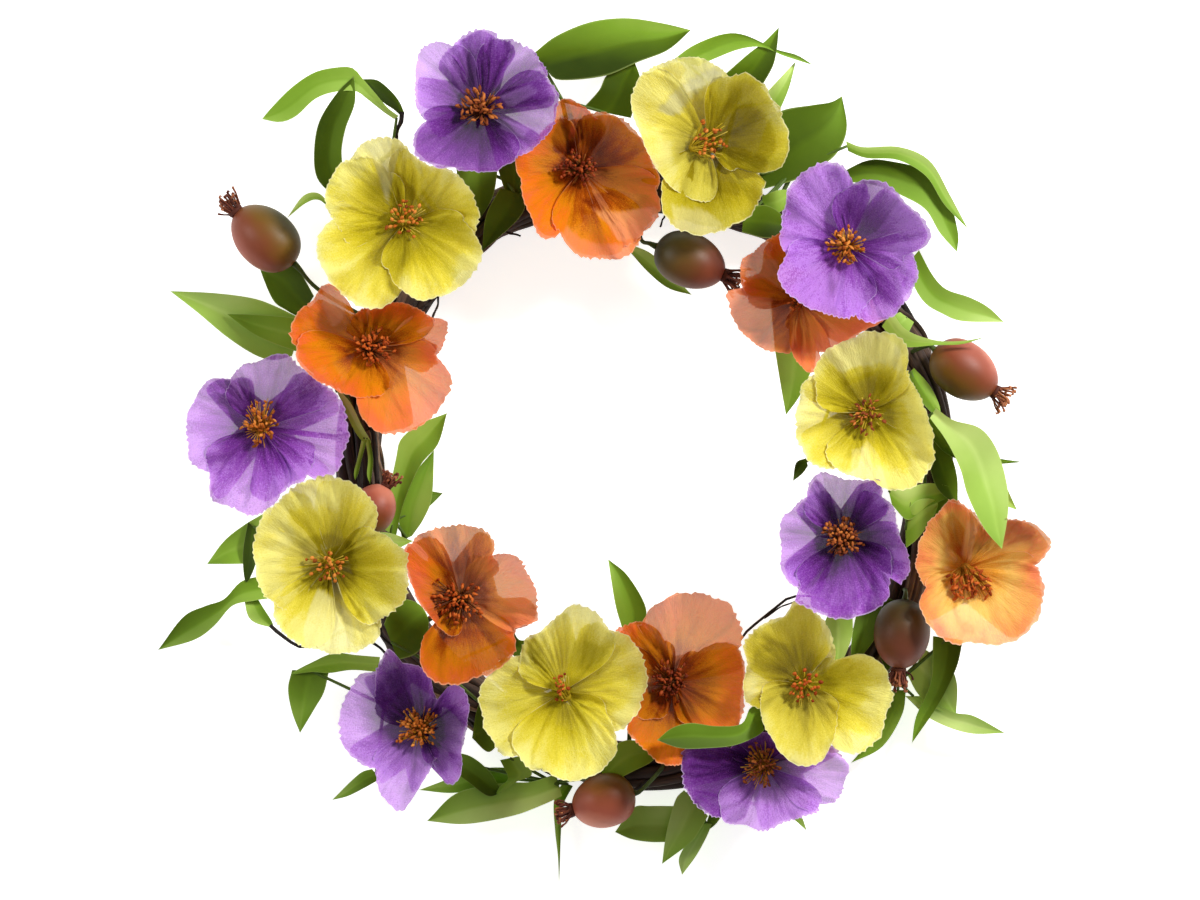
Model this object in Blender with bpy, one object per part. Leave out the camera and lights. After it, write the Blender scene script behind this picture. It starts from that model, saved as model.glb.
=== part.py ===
"""Poppy wreath: a ring of twisted vines carrying eighteen fabric poppies, six
rose hips and seventeen sprigs of leaves.  Metres, +Z up.  The wreath lies on the
back of its vine ring with the flowers facing up; the origin is the middle of
its footprint, on the surface it lies on.  +Y is the top of the wreath as hung.

The flowers are placed by their hearts and by the rims of their petals, and laid
one on another in the order of the pile; the leaves are placed by the line and
the width of their blades.
"""
import math

import bpy
from mathutils import Vector

# ---- driving dimensions (metres) ----------------------------------------------
PETAL_THICK = 0.0022           # petals with their folds, as one closed cup
CALYX_R = 0.0065               # green cup under a flower
CALYX_DEEP = 0.009
STEM_R = 0.0020                # wire stem of a flower
STALK_R = 0.0018               # stalk of a sprig
PETIOLE_R = 0.0012             # stalk of one leaf
LEAF_THICK = 0.0009            # half thickness of a leaf at its midrib
STAMEN_R = 0.0130              # tuft of stamens
STAMEN_H = 0.0090
FIT = 0.0003                   # gap between pieces that touch
VINES = 5                      # vines in the ring
TURNS = 2                      # full turns of the twist round the ring
RING_STEPS = 44
TUBE_STEPS = 15

# ---- layout of the wreath -----------------------------------------------------
# One plan unit is 0.625 mm.  Plan positions are (across, down) from the top left
# corner of a 1200 x 900 sheet, as seen from an eye VIEW metres above the floor.
UNIT = 0.000625
MID_X, MID_Y = 601.6, 455.8
VIEW = 5.0

RING_MID = (640.0, 475.0)      # middle of the vine ring
RING_R = 288.0                 # its centreline radius in plan units
TUBE_R = 0.0165                # mean radius of the bundle of vines
TUBE_LOBE = 0.0018             # how far each vine stands out of the bundle
HEART_R = 23.0                 # flat middle of a flower, plan units
PETAL_LEN = 0.056              # a petal from heart to rim, flattened out


def plan(px, py, z=0.0):
    """Plan position to metres, seen true from the eye whatever its height z."""
    k = UNIT * (1.0 - z / VIEW)
    return ((px - MID_X) * k, (MID_Y - py) * k)


# A petal is its rim, from one shoulder round the crown to the other, then its
# lift (mm from heart to rim, None for what its length gives) and its order in
# the flower, 0 lying lowest.
FLOWERS = {
    "p1": ("purple", (481, 110), [
        ([(450, 50), (462, 36), (480, 28), (498, 35)], 26, 0),
        ([(497, 38), (522, 43), (538, 56), (548, 80)], None, 1),
        ([(545, 76), (558, 96), (555, 120), (545, 138), (515, 158)], None, 2),
        ([(422, 122), (413, 150), (430, 164), (458, 169), (475, 172), (500, 169), (516, 157)], None, 3),
        ([(453, 46), (437, 41), (422, 48), (415, 80), (418, 110), (430, 126)], None, 1)]),
    "y1": ("yellow", (404, 222), [
        ([(350, 157), (375, 138), (397, 139), (411, 153)], 22, 0),
        ([(388, 172), (375, 160), (350, 158), (335, 172), (325, 195), (330, 215), (342, 232)], None, 2),
        ([(404, 148), (425, 163), (455, 172), (475, 200), (480, 215), (474, 236)], None, 1),
        ([(464, 221), (475, 233), (482, 256), (470, 278), (450, 293), (422, 300), (402, 291), (388, 270)], None, 3),
        ([(330, 220), (317, 238), (320, 262), (345, 298), (375, 309), (392, 302), (404, 288)], None, 2)]),
    "o1": ("orange", (580, 170), [
        ([(554, 122), (557, 101), (580, 104), (594, 117)], 24, 0),
        ([(590, 114), (610, 113), (635, 130), (655, 165), (660, 182), (652, 196)], None, 1),
        ([(558, 118), (530, 150), (516, 157), (520, 180), (530, 215), (540, 235), (556, 237), (566, 226)], None, 1),
        ([(656, 188), (660, 208), (650, 226), (638, 240)], None, 2),
        ([(560, 230), (577, 255), (602, 258), (628, 256), (642, 236)], None, 2)]),
    "y2": ("yellow", (708, 143), [
        ([(640, 77), (655, 66), (688, 58), (712, 62), (728, 77)], 26, 0),
        ([(644, 72), (631, 98), (638, 130), (652, 160), (675, 190), (704, 202)], None, 2),
        ([(724, 77), (752, 75), (772, 97), (789, 140), (783, 165), (762, 173), (738, 168)], None, 2),
        ([(662, 180), (665, 215), (685, 233), (715, 232), (750, 215), (766, 180)], None, 1)]),
    "p2": ("purple", (847, 247), [
        ([(854, 184), (838, 163), (810, 168), (790, 187), (782, 225), (779, 238), (789, 258)], None, 1),
        ([(842, 192), (865, 180), (890, 185), (905, 202), (930, 230), (925, 246), (904, 256)], None, 2),
        ([(788, 252), (778, 276), (792, 297), (822, 312), (850, 318), (870, 300)], None, 3),
        ([(912, 250), (917, 278), (905, 302), (880, 322), (856, 318)], None, 2)]),
    "o2": ("orange", (800, 300), [
        ([(784, 230), (757, 249), (742, 262), (741, 282), (748, 297)], None, 1),
        ([(742, 288), (728, 292), (731, 312), (743, 333), (762, 348), (790, 353)], None, 0),
        ([(789, 330), (791, 350), (797, 362), (812, 372), (822, 362)], 14, 2),
        ([(816, 352), (835, 350), (860, 333), (886, 318)], None, 1),
        ([(878, 322), (868, 290), (845, 262), (815, 245), (785, 238)], None, 0)]),
    "y3": ("yellow", (868, 412), [
        ([(817, 395), (816, 366), (824, 352), (848, 340), (866, 332), (884, 332), (899, 336), (908, 352), (907, 370)], 26, 2),
        ([(814, 374), (802, 384), (800, 398), (795, 420), (799, 444), (812, 464), (836, 469)], None, 0),
        ([(830, 462), (846, 474), (870, 480), (884, 489), (900, 490), (913, 487), (926, 478)], None, 1),
        ([(902, 362), (912, 382), (925, 408), (933, 436), (935, 455), (928, 472), (916, 484)], None, 1)]),
    "p3": ("purple", (261, 428), [
        ([(229, 386), (237, 369), (258, 361), (288, 355), (304, 370), (323, 382)], None, 1),
        ([(234, 380), (215, 378), (204, 385), (194, 400), (187, 416), (188, 445), (192, 464), (210, 472)], None, 0),
        ([(318, 381), (338, 396), (349, 430), (345, 452), (334, 474), (312, 478)], None, 1),
        ([(207, 462), (209, 478), (213, 500), (234, 508), (250, 515), (266, 511), (280, 496)], None, 2),
        ([(272, 500), (290, 486), (306, 478), (312, 464)], None, 1)]),
    "o3": ("orange", (370, 348), [
        ([(349, 302), (330, 284), (312, 300), (291, 323), (291, 338), (300, 350)], None, 1),
        ([(296, 345), (298, 361), (309, 374), (332, 388), (352, 396), (384, 394)], None, 2),
        ([(356, 400), (362, 417), (383, 434), (408, 431), (433, 417), (449, 392), (450, 375), (436, 356)], None, 1),
        ([(436, 356), (444, 343), (446, 322), (432, 317)], None, 0),
        ([(432, 317), (415, 307), (398, 302), (378, 308), (362, 309), (350, 322)], 24, 1)]),
    "p4": ("purple", (843, 538), [
        ([(806, 500), (811, 480), (821, 472), (834, 476), (852, 480), (868, 480), (880, 480), (882, 496)], 28, 1),
        ([(812, 494), (793, 508), (783, 517), (781, 548), (783, 574), (798, 589)], None, 0),
        ([(878, 494), (893, 507), (899, 533), (909, 561), (909, 574), (900, 584)], None, 1),
        ([(800, 585), (796, 600), (815, 612), (837, 619), (864, 614), (886, 602), (890, 585), (891, 562)], None, 2)]),
    "o4": ("orange", (965, 568), [
        ([(951, 500), (940, 510), (929, 522), (919, 543), (917, 572), (926, 587)], 26, 1),
        ([(948, 500), (960, 502), (973, 512), (985, 528), (1003, 548)], 24, 0),
        ([(1004, 519), (1031, 522), (1044, 534), (1052, 545), (1042, 560), (1030, 568)], None, 1),
        ([(926, 588), (919, 602), (925, 618), (936, 634), (952, 643), (975, 643), (998, 645), (1020, 638), (1037, 620), (1044, 590), (1038, 566)], None, 2)]),
    "y4": ("yellow", (330, 563), [
        ([(279, 500), (303, 481), (336, 477), (358, 486), (373, 502), (378, 520), (374, 532)], None, 1),
        ([(282, 498), (256, 528), (255, 562), (260, 588), (272, 600)], None, 1),
        ([(264, 594), (273, 604), (275, 620), (292, 640), (310, 648)], None, 1),
        ([(300, 644), (337, 653), (365, 648), (378, 636), (381, 618)], None, 0),
        ([(374, 530), (392, 540), (408, 556), (407, 574), (409, 588), (400, 606), (378, 621)], None, 2)]),
    "o5": ("orange", (460, 598), [
        ([(414, 540), (424, 532), (445, 526), (470, 526), (487, 531), (495, 547), (492, 556)], None, 1),
        ([(484, 557), (500, 554), (522, 560), (528, 574), (536, 592), (537, 622)], None, 1),
        ([(424, 634), (420, 655), (428, 677), (452, 685), (470, 680), (494, 671), (514, 653), (516, 630), (534, 623)], None, 0),
        ([(420, 538), (405, 549), (409, 578), (417, 598), (431, 618), (452, 636)], 30, 2)]),
    "p5": ("purple", (420, 730), [
        ([(376, 704), (376, 676), (381, 658), (390, 649), (402, 662), (428, 671), (433, 690), (438, 702)], None, 2),
        ([(384, 672), (360, 675), (350, 688), (340, 715), (341, 742), (356, 760), (378, 770)], None, 0),
        ([(376, 766), (378, 787), (388, 803), (402, 811), (414, 796), (424, 780), (434, 760)], None, 1),
        ([(438, 700), (447, 687), (460, 686), (467, 697), (466, 730), (462, 752), (456, 782), (444, 782), (434, 764)], 28, 2)]),
    "y5": ("yellow", (562, 692), [
        ([(520, 664), (524, 642), (546, 627), (560, 612), (577, 605), (594, 611), (610, 631)], None, 2),
        ([(606, 629), (624, 634), (644, 658), (647, 680), (642, 702), (634, 719), (614, 732)], None, 1),
        ([(517, 752), (524, 764), (545, 772), (565, 781), (582, 779), (603, 770), (614, 757), (616, 736), (606, 712)], None, 3),
        ([(521, 756), (500, 753), (490, 738), (482, 716), (479, 695), (486, 680), (500, 661), (522, 655)], None, 1)]),
    "o6": ("orange", (672, 682), [
        ([(641, 624), (655, 605), (674, 595), (706, 594), (730, 606), (740, 622), (742, 645)], 24, 0),
        ([(612, 640), (622, 626), (642, 622), (656, 628), (664, 640)], 15, 1),
        ([(697, 652), (720, 642), (737, 647), (745, 666), (744, 694), (738, 728), (718, 733), (690, 723)], 13, 2),
        ([(682, 764), (660, 763), (644, 750), (627, 727), (634, 716)], None, 1),
        ([(622, 650), (640, 690), (637, 716), (657, 718)], 22, 2)]),
    "p6": ("purple", (764, 765), [
        ([(700, 742), (683, 750), (681, 770), (690, 797), (708, 815), (722, 817)], None, 1),
        ([(721, 806), (724, 822), (744, 825), (764, 831), (783, 823), (803, 817), (820, 811)], None, 2),
        ([(821, 804), (836, 801), (845, 783), (848, 767), (834, 745)], None, 1),
        ([(796, 744), (772, 733), (745, 735), (730, 748)], 8, 0)]),
    "y6": ("yellow", (803, 684), [
        ([(758, 709), (746, 702), (747, 664), (744, 645), (756, 627), (784, 616), (797, 600), (815, 612), (826, 622)], 24, 1),
        ([(836, 660), (862, 654), (882, 665), (892, 688), (885, 722), (872, 746), (850, 754), (834, 747)], None, 0),
        ([(762, 692), (760, 708), (771, 738), (785, 757), (800, 765), (818, 764), (832, 742), (837, 712)], None, 2)]),
}

# Flowers from the lowest to the highest of the pile.
PILE = ["p6", "o6", "y6", "p3", "o3", "y1", "o2", "p4", "y3", "y5", "p5", "o5",
        "y4", "o1", "p1", "y2", "p2", "o4"]

# A rose hip: root of its stalk, the two ends of the berry, its half width, the
# end of the dried calyx, and the height of its middle in mm.
HIPS = {
    "h1": ([(322, 292)], (291, 261), (239, 214), 32, (222, 199), 50),
    "h2": ([(640, 236)], (656, 246), (724, 275), 28, (742, 284), 46),
    "h3": ([(916, 350)], (938, 352), (991, 389), 31, (1008, 401), 42),
    "h4": ([(352, 540)], (361, 531), (386, 486), 23, (391, 472), 50),
    "h5": ([(905, 590)], (905, 601), (899, 667), 30, (894, 694), 54),
    "h6": ([(662, 768)], (632, 793), (575, 809), 28, (553, 811), 40),
}

# A leaf: blade from base to tip, half width, height of base and tip in mm.
# Leaves of one sprig share a stalk from the ring to the fork.
SPRIGS = {
    "s01": ((392, 152), 24, {
        "L1": ([(402, 118), (365, 87), (325, 83), (288, 100), (263, 119)], 13, 30, 36),
        "L2": ([(345, 172), (329, 145), (337, 110), (353, 77)], 14, 22, 30),
        "L3": ([(338, 200), (310, 202), (287, 218)], 8, 20, 18)}),
    "s02": ((562, 100), 24, {
        "L4": ([(543, 60), (585, 52), (635, 40), (691, 30)], 23, 28, 34),
        "L5": ([(600, 116), (616, 92), (636, 64)], 20, 22, 28)}),
    "s03": ((735, 108), 22, {
        "L6": ([(680, 62), (710, 48), (742, 41), (776, 49), (813, 65)], 9, 28, 30),
        "L7": ([(738, 80), (758, 56), (779, 28)], 14, 22, 32),
        "L8": ([(772, 103), (783, 84), (796, 61)], 11, 20, 24)}),
    "s04": ((795, 168), 26, {
        "L9": ([(780, 172), (806, 140), (842, 98)], 26, 26, 30),
        "L10": ([(846, 156), (890, 153), (932, 174), (967, 229)], 10, 30, 26),
        "L11": ([(862, 178), (903, 180), (938, 206), (958, 251)], 14, 22, 22)}),
    "s05": ((898, 300), 42, {
        "L12": ([(915, 264), (934, 289), (966, 305), (1004, 322)], 11, 42, 32),
        "L13": ([(892, 322), (930, 335), (986, 337)], 11, 46, 64)}),
    "s06": ((925, 418), 42, {
        "L17": ([(950, 420), (978, 452), (993, 500), (1002, 549)], 20, 54, 92),
        "L18": ([(936, 428), (952, 447), (985, 459), (1023, 462)], 6, 46, 52),
        "L20": ([(930, 420), (943, 455), (957, 500)], 17, 42, 42)}),
    "s07": ((838, 388), 20, {
        "L15": ([(800, 352), (790, 382), (786, 416)], 16, 22, 24),
        "L19": ([(808, 458), (799, 466), (793, 481)], 7, 22, 22)}),
    "s08": ((898, 682), 20, {
        "L22": ([(942, 652), (938, 695), (913, 744)], 14, 24, 26),
        "L23": ([(915, 698), (955, 714), (1006, 734)], 10, 20, 20),
        "L25": ([(903, 700), (893, 733), (852, 763)], 14, 16, 14)}),
    "s09": ((868, 590), 41, {
        "L49": ([(838, 616), (845, 638), (841, 664)], 10, 42, 46),
        "L50": ([(874, 616), (866, 634), (853, 657)], 11, 41, 42)}),
    "s10": ((690, 790), 18, {
        "L27": ([(674, 806), (645, 820), (615, 833)], 17, 18, 16),
        "L28": ([(690, 802), (683, 832), (663, 864)], 17, 20, 18),
        "L29": ([(706, 822), (700, 850), (683, 875)], 11, 16, 14)}),
    "s11": ((786, 722), 52, {
        "L26": ([(768, 722), (724, 738), (692, 738), (657, 740)], 13, 74, 92)}),
    "s12": ((552, 782), 14, {
        "L31": ([(569, 784), (556, 814), (559, 888)], 4, 12, 10),
        "L32": ([(545, 795), (505, 795), (465, 809), (427, 822)], 20, 18, 20),
        "L33b": ([(530, 778), (480, 774), (419, 788)], 13, 12, 10)}),
    "s13": ((384, 705), 22, {
        "L33": ([(378, 768), (354, 783), (332, 799)], 7, 20, 16),
        "L34": ([(374, 662), (335, 661), (304, 676), (300, 733)], 13, 24, 18)}),
    "s14": ((292, 560), 24, {
        "L35": ([(266, 588), (225, 604), (190, 627), (158, 650)], 12, 24, 22),
        "L36": ([(262, 522), (236, 538), (207, 564)], 13, 26, 24),
        "L37": ([(258, 570), (252, 600), (272, 628)], 9, 20, 18)}),
    "s15": ((315, 330), 22, {
        "L38": ([(286, 334), (232, 322), (170, 291)], 24, 22, 26),
        "L40": ([(310, 314), (292, 290), (262, 270)], 19, 20, 16)}),
    "s16": ((394, 520), 24, {
        "L41": ([(396, 512), (408, 470), (447, 414)], 17, 26, 34),
        "L42": ([(406, 534), (419, 497), (433, 451)], 15, 22, 24)}),
    "s17": ((632, 672), 22, {
        "L44": ([(637, 628), (631, 600), (608, 560)], 14, 22, 26)}),
}


def polar(c, p):
    return math.atan2(c[1] - p[1], p[0] - c[0]), math.hypot(p[0] - c[0], p[1] - c[1])


def rim_knots(c, rim):
    """A rim as (angle, radius) knots about the heart, the angles rising."""
    out = []
    for p in rim:
        a, r = polar(c, p)
        if out:
            while a - out[-1][0] > math.pi:
                a -= 2 * math.pi
            while a - out[-1][0] < -math.pi:
                a += 2 * math.pi
        out.append((a, r))
    if out[-1][0] < out[0][0]:
        out.reverse()
    fixed = [out[0]]
    for a, r in out[1:]:
        fixed.append((max(a, fixed[-1][0] + 0.03), r))
    return fixed


def rim_radius(knots, a):
    """Smooth radius of the rim at the angle a, or None outside the petal."""
    first, last = knots[0][0], knots[-1][0]
    while a < first:
        a += 2 * math.pi
    while a > first + 2 * math.pi:
        a -= 2 * math.pi
    if a > last:
        return None
    for i in range(len(knots) - 1):
        (a0, r0), (a1, r1) = knots[i], knots[i + 1]
        if a <= a1:
            t = (a - a0) / (a1 - a0)
            m0 = (r1 - knots[i - 1][1]) / (a1 - knots[i - 1][0]) if i > 0 else (r1 - r0) / (a1 - a0)
            m1 = (knots[i + 2][1] - r0) / (knots[i + 2][0] - a0) if i + 2 < len(knots) else (r1 - r0) / (a1 - a0)
            m0 *= a1 - a0
            m1 *= a1 - a0
            return ((2 * t ** 3 - 3 * t * t + 1) * r0 + (t ** 3 - 2 * t * t + t) * m0
                    + (3 * t * t - 2 * t ** 3) * r1 + (t ** 3 - t * t) * m1)
    return knots[-1][1]


def petal_lift(knots, lift):
    """Height of a rim over the heart: what its length leaves after its reach."""
    if lift is not None:
        return lift * 0.001
    reach = UNIT * sum(r for _, r in knots) / len(knots)
    return min(0.026, max(0.005, 0.62 * math.sqrt(max(0.0, PETAL_LEN ** 2 - reach ** 2))))


def flower_petals(name):
    colour, heart, petals = FLOWERS[name]
    out = []
    for rim, lift, order in petals:
        knots = rim_knots(heart, rim)
        out.append((knots, petal_lift(knots, lift), order))
    return out


def corolla_at(petals, a):
    """Reach and lift of the whole flower at the angle a."""
    best = (0.0, 0.0)
    for knots, lift, order in petals:
        r = rim_radius(knots, a)
        if r is not None and r > best[0]:
            best = (r, lift)
    return best


def cup(v):
    """Height fraction at the fraction v of the way from the heart to the rim."""
    return max(0.0, v) ** 1.35


CUP_STEPS = 20


def corolla_table(name):
    """Reach and lift at CUP_STEPS angles, eased a little from step to step."""
    petals = flower_petals(name)
    raw = [corolla_at(petals, 2 * math.pi * i / CUP_STEPS) for i in range(CUP_STEPS)]
    raw = [(max(r, HEART_R + 8), l) for r, l in raw]
    out = []
    for i in range(CUP_STEPS):
        l = (raw[i - 1][1] + 2 * raw[i][1] + raw[(i + 1) % CUP_STEPS][1]) / 4
        out.append((raw[i][0], l))
    return out


def corolla_height(table, heart, px, py):
    """Height of the top of a flower over its own heart, or None off the flower."""
    a, r = polar(heart, (px, py))
    f = (a % (2 * math.pi)) / (2 * math.pi) * CUP_STEPS
    i = int(f) % CUP_STEPS
    t = f - int(f)
    reach = table[i][0] * (1 - t) + table[(i + 1) % CUP_STEPS][0] * t
    lift = table[i][1] * (1 - t) + table[(i + 1) % CUP_STEPS][1] * t
    if r > reach + 2.0:
        return None
    return lift * cup((min(r, reach) - HEART_R) / (reach - HEART_R))


def settle(lowest=0.056, gap=0.0012, thick=0.0022):
    """Heart height of every flower, each laid on the ones below it in the pile."""
    tables = {n: corolla_table(n) for n in PILE}
    hearts = {}
    for n in PILE:
        hx, hy = FLOWERS[n][1]
        z = lowest
        for i in range(72):
            a = 2 * math.pi * i / 72
            f = a / (2 * math.pi) * CUP_STEPS
            j = int(f) % CUP_STEPS
            reach = tables[n][j][0] * (1 - (f - int(f))) + tables[n][(j + 1) % CUP_STEPS][0] * (f - int(f))
            for v in (0.2, 0.35, 0.5, 0.65, 0.75, 0.85, 0.92, 1.0):
                px = hx + reach * v * math.cos(a)
                py = hy - reach * v * math.sin(a)
                mine = corolla_height(tables[n], (hx, hy), px, py)
                if mine is None:
                    continue
                for m in hearts:
                    under = corolla_height(tables[m], FLOWERS[m][1], px, py)
                    if under is not None:
                        z = max(z, hearts[m] + under + thick + gap - mine)
                for s, e0, e1, hw, cal, hz in HIPS.values():
                    mx, my = (e0[0] + e1[0]) / 2, (e0[1] + e1[1]) / 2
                    half = math.hypot(e1[0] - e0[0], e1[1] - e0[1]) / 2
                    ux, uy = (e1[0] - e0[0]) / (2 * half), (e1[1] - e0[1]) / (2 * half)
                    along = ((px - mx) * ux + (py - my) * uy) / (half + 4)
                    across = ((px - mx) * -uy + (py - my) * ux) / (hw + 3)
                    q = 1 - along * along - across * across
                    if q > 0:
                        z = max(z, hz * 0.001 + hw * UNIT * math.sqrt(q) + thick + gap - mine)
        hearts[n] = z
    return tables, hearts
# ---- end of layout ------------------------------------------------------------


# ---- scene helpers --------------------------------------------------------------
for old in list(bpy.data.objects):
    bpy.data.objects.remove(old, do_unlink=True)


def material(name, colour, rough, metallic=0.0):
    m = bpy.data.materials.new(name)
    m.use_nodes = True
    b = m.node_tree.nodes["Principled BSDF"]
    b.inputs["Base Color"].default_value = (*colour, 1.0)
    b.inputs["Roughness"].default_value = rough
    b.inputs["Metallic"].default_value = metallic
    m.diffuse_color = (*colour, 1.0)
    return m


MATS = {
    "purple": material("petal_purple", (0.32, 0.12, 0.62), 0.85),
    "yellow": material("petal_yellow", (0.72, 0.62, 0.10), 0.85),
    "orange": material("petal_orange", (0.85, 0.28, 0.06), 0.85),
    "stamen": material("stamen_orange", (0.55, 0.22, 0.03), 0.8),
    "hip": material("rose_hip", (0.42, 0.15, 0.09), 0.4),
    "leaf": material("leaf_green", (0.16, 0.30, 0.03), 0.6),
    "vine": material("vine_bark", (0.06, 0.035, 0.025), 0.8),
}


def new_object(name, verts, faces, mat, smooth=True, sharp=45.0):
    split = []
    for f in faces:
        if len(f) == 4:
            split += [(f[0], f[1], f[2]), (f[0], f[2], f[3])]
        else:
            split.append(f)
    me = bpy.data.meshes.new(name)
    me.from_pydata([tuple(v) for v in verts], [], split)
    me.validate()
    if smooth:
        me.shade_smooth()
        me.set_sharp_from_angle(angle=math.radians(sharp))
    ob = bpy.data.objects.new(name, me)
    bpy.context.scene.collection.objects.link(ob)
    me.materials.append(MATS[mat])
    return ob


def tool(ob):
    """A piece that only shapes another one."""
    ob.hide_render = True
    ob.display_type = 'WIRE'
    return ob


def boolean(ob, other, operation):
    m = ob.modifiers.new(operation.lower(), 'BOOLEAN')
    m.operation = operation
    m.solver = 'EXACT'
    m.object = other


def at(px, py, z):
    x, y = plan(px, py, z)
    return Vector((x, y, z))


def loft(stations, sides, flat=False):
    """Closed solid along a line.  A station is (point, half width, half height);
    flat keeps the width level, as a leaf carries it."""
    pts = [s[0] for s in stations]
    verts, faces = [], []
    side = None
    for i, (p, w, h) in enumerate(stations):
        t = (pts[min(i + 1, len(pts) - 1)] - pts[max(i - 1, 0)]).normalized()
        level = Vector((0, 0, 1)).cross(t)
        if side is None or (flat and level.length > 0.25):
            side = level if level.length > 0.05 else Vector((1, 0, 0))
        side = (side - t * side.dot(t)).normalized()
        up = t.cross(side)
        for k in range(sides):
            a = 2 * math.pi * k / sides
            verts.append(p + side * (w * math.cos(a)) + up * (h * math.sin(a)))
    n = len(stations)
    for i in range(n - 1):
        for k in range(sides):
            a, b = i * sides + k, i * sides + (k + 1) % sides
            faces.append((a, b, b + sides, a + sides))
    faces.append(tuple(reversed(range(sides))))
    faces.append(tuple((n - 1) * sides + k for k in range(sides)))
    return verts, faces


def ring_point(px, py, z):
    """Point of the ring's centreline nearest to a plan position."""
    dx, dy = px - RING_MID[0], py - RING_MID[1]
    d = math.hypot(dx, dy)
    return at(RING_MID[0] + dx * RING_R / d, RING_MID[1] + dy * RING_R / d, z)


# ---- vine ring --------------------------------------------------------------------
def tube_profile(phase):
    return TUBE_R + TUBE_LOBE * math.cos(phase)


def ring_mesh(grow):
    """The bundle of vines bent into a ring: a tube with VINES rounded ribs that
    turn TURNS times round it."""
    verts, faces = [], []
    mx, my = plan(RING_MID[0], RING_MID[1], TUBE_R)
    big = RING_R * UNIT * (1 - TUBE_R / VIEW)
    rest = TUBE_R + TUBE_LOBE
    for i in range(RING_STEPS):
        u = 2 * math.pi * i / RING_STEPS
        wob = 0.0016 * math.sin(3 * u + 0.6) + 0.0010 * math.sin(7 * u)
        for j in range(TUBE_STEPS):
            s = 2 * math.pi * j / TUBE_STEPS
            r = tube_profile(VINES * s) + grow
            a = s + TURNS * u
            rad = big + wob + r * math.cos(a)
            verts.append(Vector((mx + rad * math.cos(u), my + rad * math.sin(u), rest + r * math.sin(a))))
    for i in range(RING_STEPS):
        for j in range(TUBE_STEPS):
            a = i * TUBE_STEPS + j
            b = i * TUBE_STEPS + (j + 1) % TUBE_STEPS
            c = ((i + 1) % RING_STEPS) * TUBE_STEPS + (j + 1) % TUBE_STEPS
            d = ((i + 1) % RING_STEPS) * TUBE_STEPS + j
            faces.append((a, d, c, b))
    return verts, faces


verts, faces = ring_mesh(0.0)
low = min(v.z for v in verts)
new_object("vine_ring", [v - Vector((0, 0, low)) for v in verts], faces, "vine", sharp=80)
verts, faces = ring_mesh(FIT)
CLEAR = tool(new_object("ring_clearance", [v - Vector((0, 0, low)) for v in verts], faces, "vine"))

# ---- flowers ------------------------------------------------------------------------
TABLES, HEARTS = settle()
COUNT = {"purple": 0, "yellow": 0, "orange": 0}


STEM_SIDES = 5
RAYS = CUP_STEPS // STEM_SIDES      # rays of the cup that meet each side of the stem


def corolla(name, label, colour):
    """Petals of one flower as a cup that narrows below into its calyx and stem."""
    heart = FLOWERS[name][1]
    z0 = HEARTS[name]
    c = at(heart[0], heart[1], z0)
    verts, faces = [c], []
    top, under = [], []
    for v in (0.0, 0.52, 1.0):
        top.append(len(verts))
        for i, (reach, lift) in enumerate(TABLES[name]):
            a = 2 * math.pi * i / CUP_STEPS
            r = HEART_R + (reach - HEART_R) * v
            verts.append(at(heart[0] + r * math.cos(a), heart[1] - r * math.sin(a), z0 + lift * cup(v)))
    for level in range(2):
        under.append(len(verts))
        for i in range(CUP_STEPS):
            verts.append(verts[top[level] + i] - Vector((0, 0, PETAL_THICK)))
    under.append(top[2])
    for i in range(CUP_STEPS):
        j = (i + 1) % CUP_STEPS
        faces.append((0, top[0] + i, top[0] + j))
        for level in range(2):
            faces.append((top[level] + i, top[level + 1] + i, top[level + 1] + j, top[level] + j))
            faces.append((under[level] + j, under[level + 1] + j, under[level + 1] + i, under[level] + i))
    root = ring_point(heart[0], heart[1], 0.027)
    stem = []
    for p, r in ((c - Vector((0, 0, PETAL_THICK + 0.0012)), CALYX_R),
                 (c - Vector((0, 0, PETAL_THICK + CALYX_DEEP)), STEM_R * 1.4),
                 (root, STEM_R)):
        stem.append(len(verts))
        for k in range(STEM_SIDES):
            a = 2 * math.pi * k / STEM_SIDES
            verts.append(p + Vector((r * math.cos(a), r * math.sin(a), 0)))
    for k in range(STEM_SIDES):
        n = (k + 1) % STEM_SIDES
        for i in range(RAYS):
            a = under[0] + (k * RAYS + i) % CUP_STEPS
            b = under[0] + (k * RAYS + i + 1) % CUP_STEPS
            faces.append((b, a, stem[0] + (k if i < RAYS // 2 else n)))
            if i == RAYS // 2 - 1:
                faces.append((b, stem[0] + k, stem[0] + n))
        for level in range(2):
            faces.append((stem[level] + n, stem[level] + k, stem[level + 1] + k, stem[level + 1] + n))
    faces.append(tuple(stem[2] + k for k in reversed(range(STEM_SIDES))))
    ob = new_object(label + "_petals", verts, faces, colour)
    boolean(ob, CLEAR, 'DIFFERENCE')
    base = c + Vector((0, 0, FIT))
    tuft = []
    for h, r in ((0.0, 0.80), (0.45, 1.0), (1.0, 0.62)):
        tuft.append((base + Vector((0, 0, STAMEN_H * h)), STAMEN_R * r, STAMEN_R * r))
    tv, tf = loft(tuft, 6)
    new_object(label + "_stamens", tv, tf, "stamen")


for name in FLOWERS:
    colour = FLOWERS[name][0]
    COUNT[colour] += 1
    corolla(name, "poppy_%s_%d" % (colour, COUNT[colour]), colour)

# ---- rose hips ----------------------------------------------------------------------
# Along the berry: fraction of its length, fraction of its half width.
BERRY = ((0.0, 0.16), (0.10, 0.56), (0.32, 0.93), (0.58, 0.98), (0.82, 0.66), (0.97, 0.26))

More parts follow.
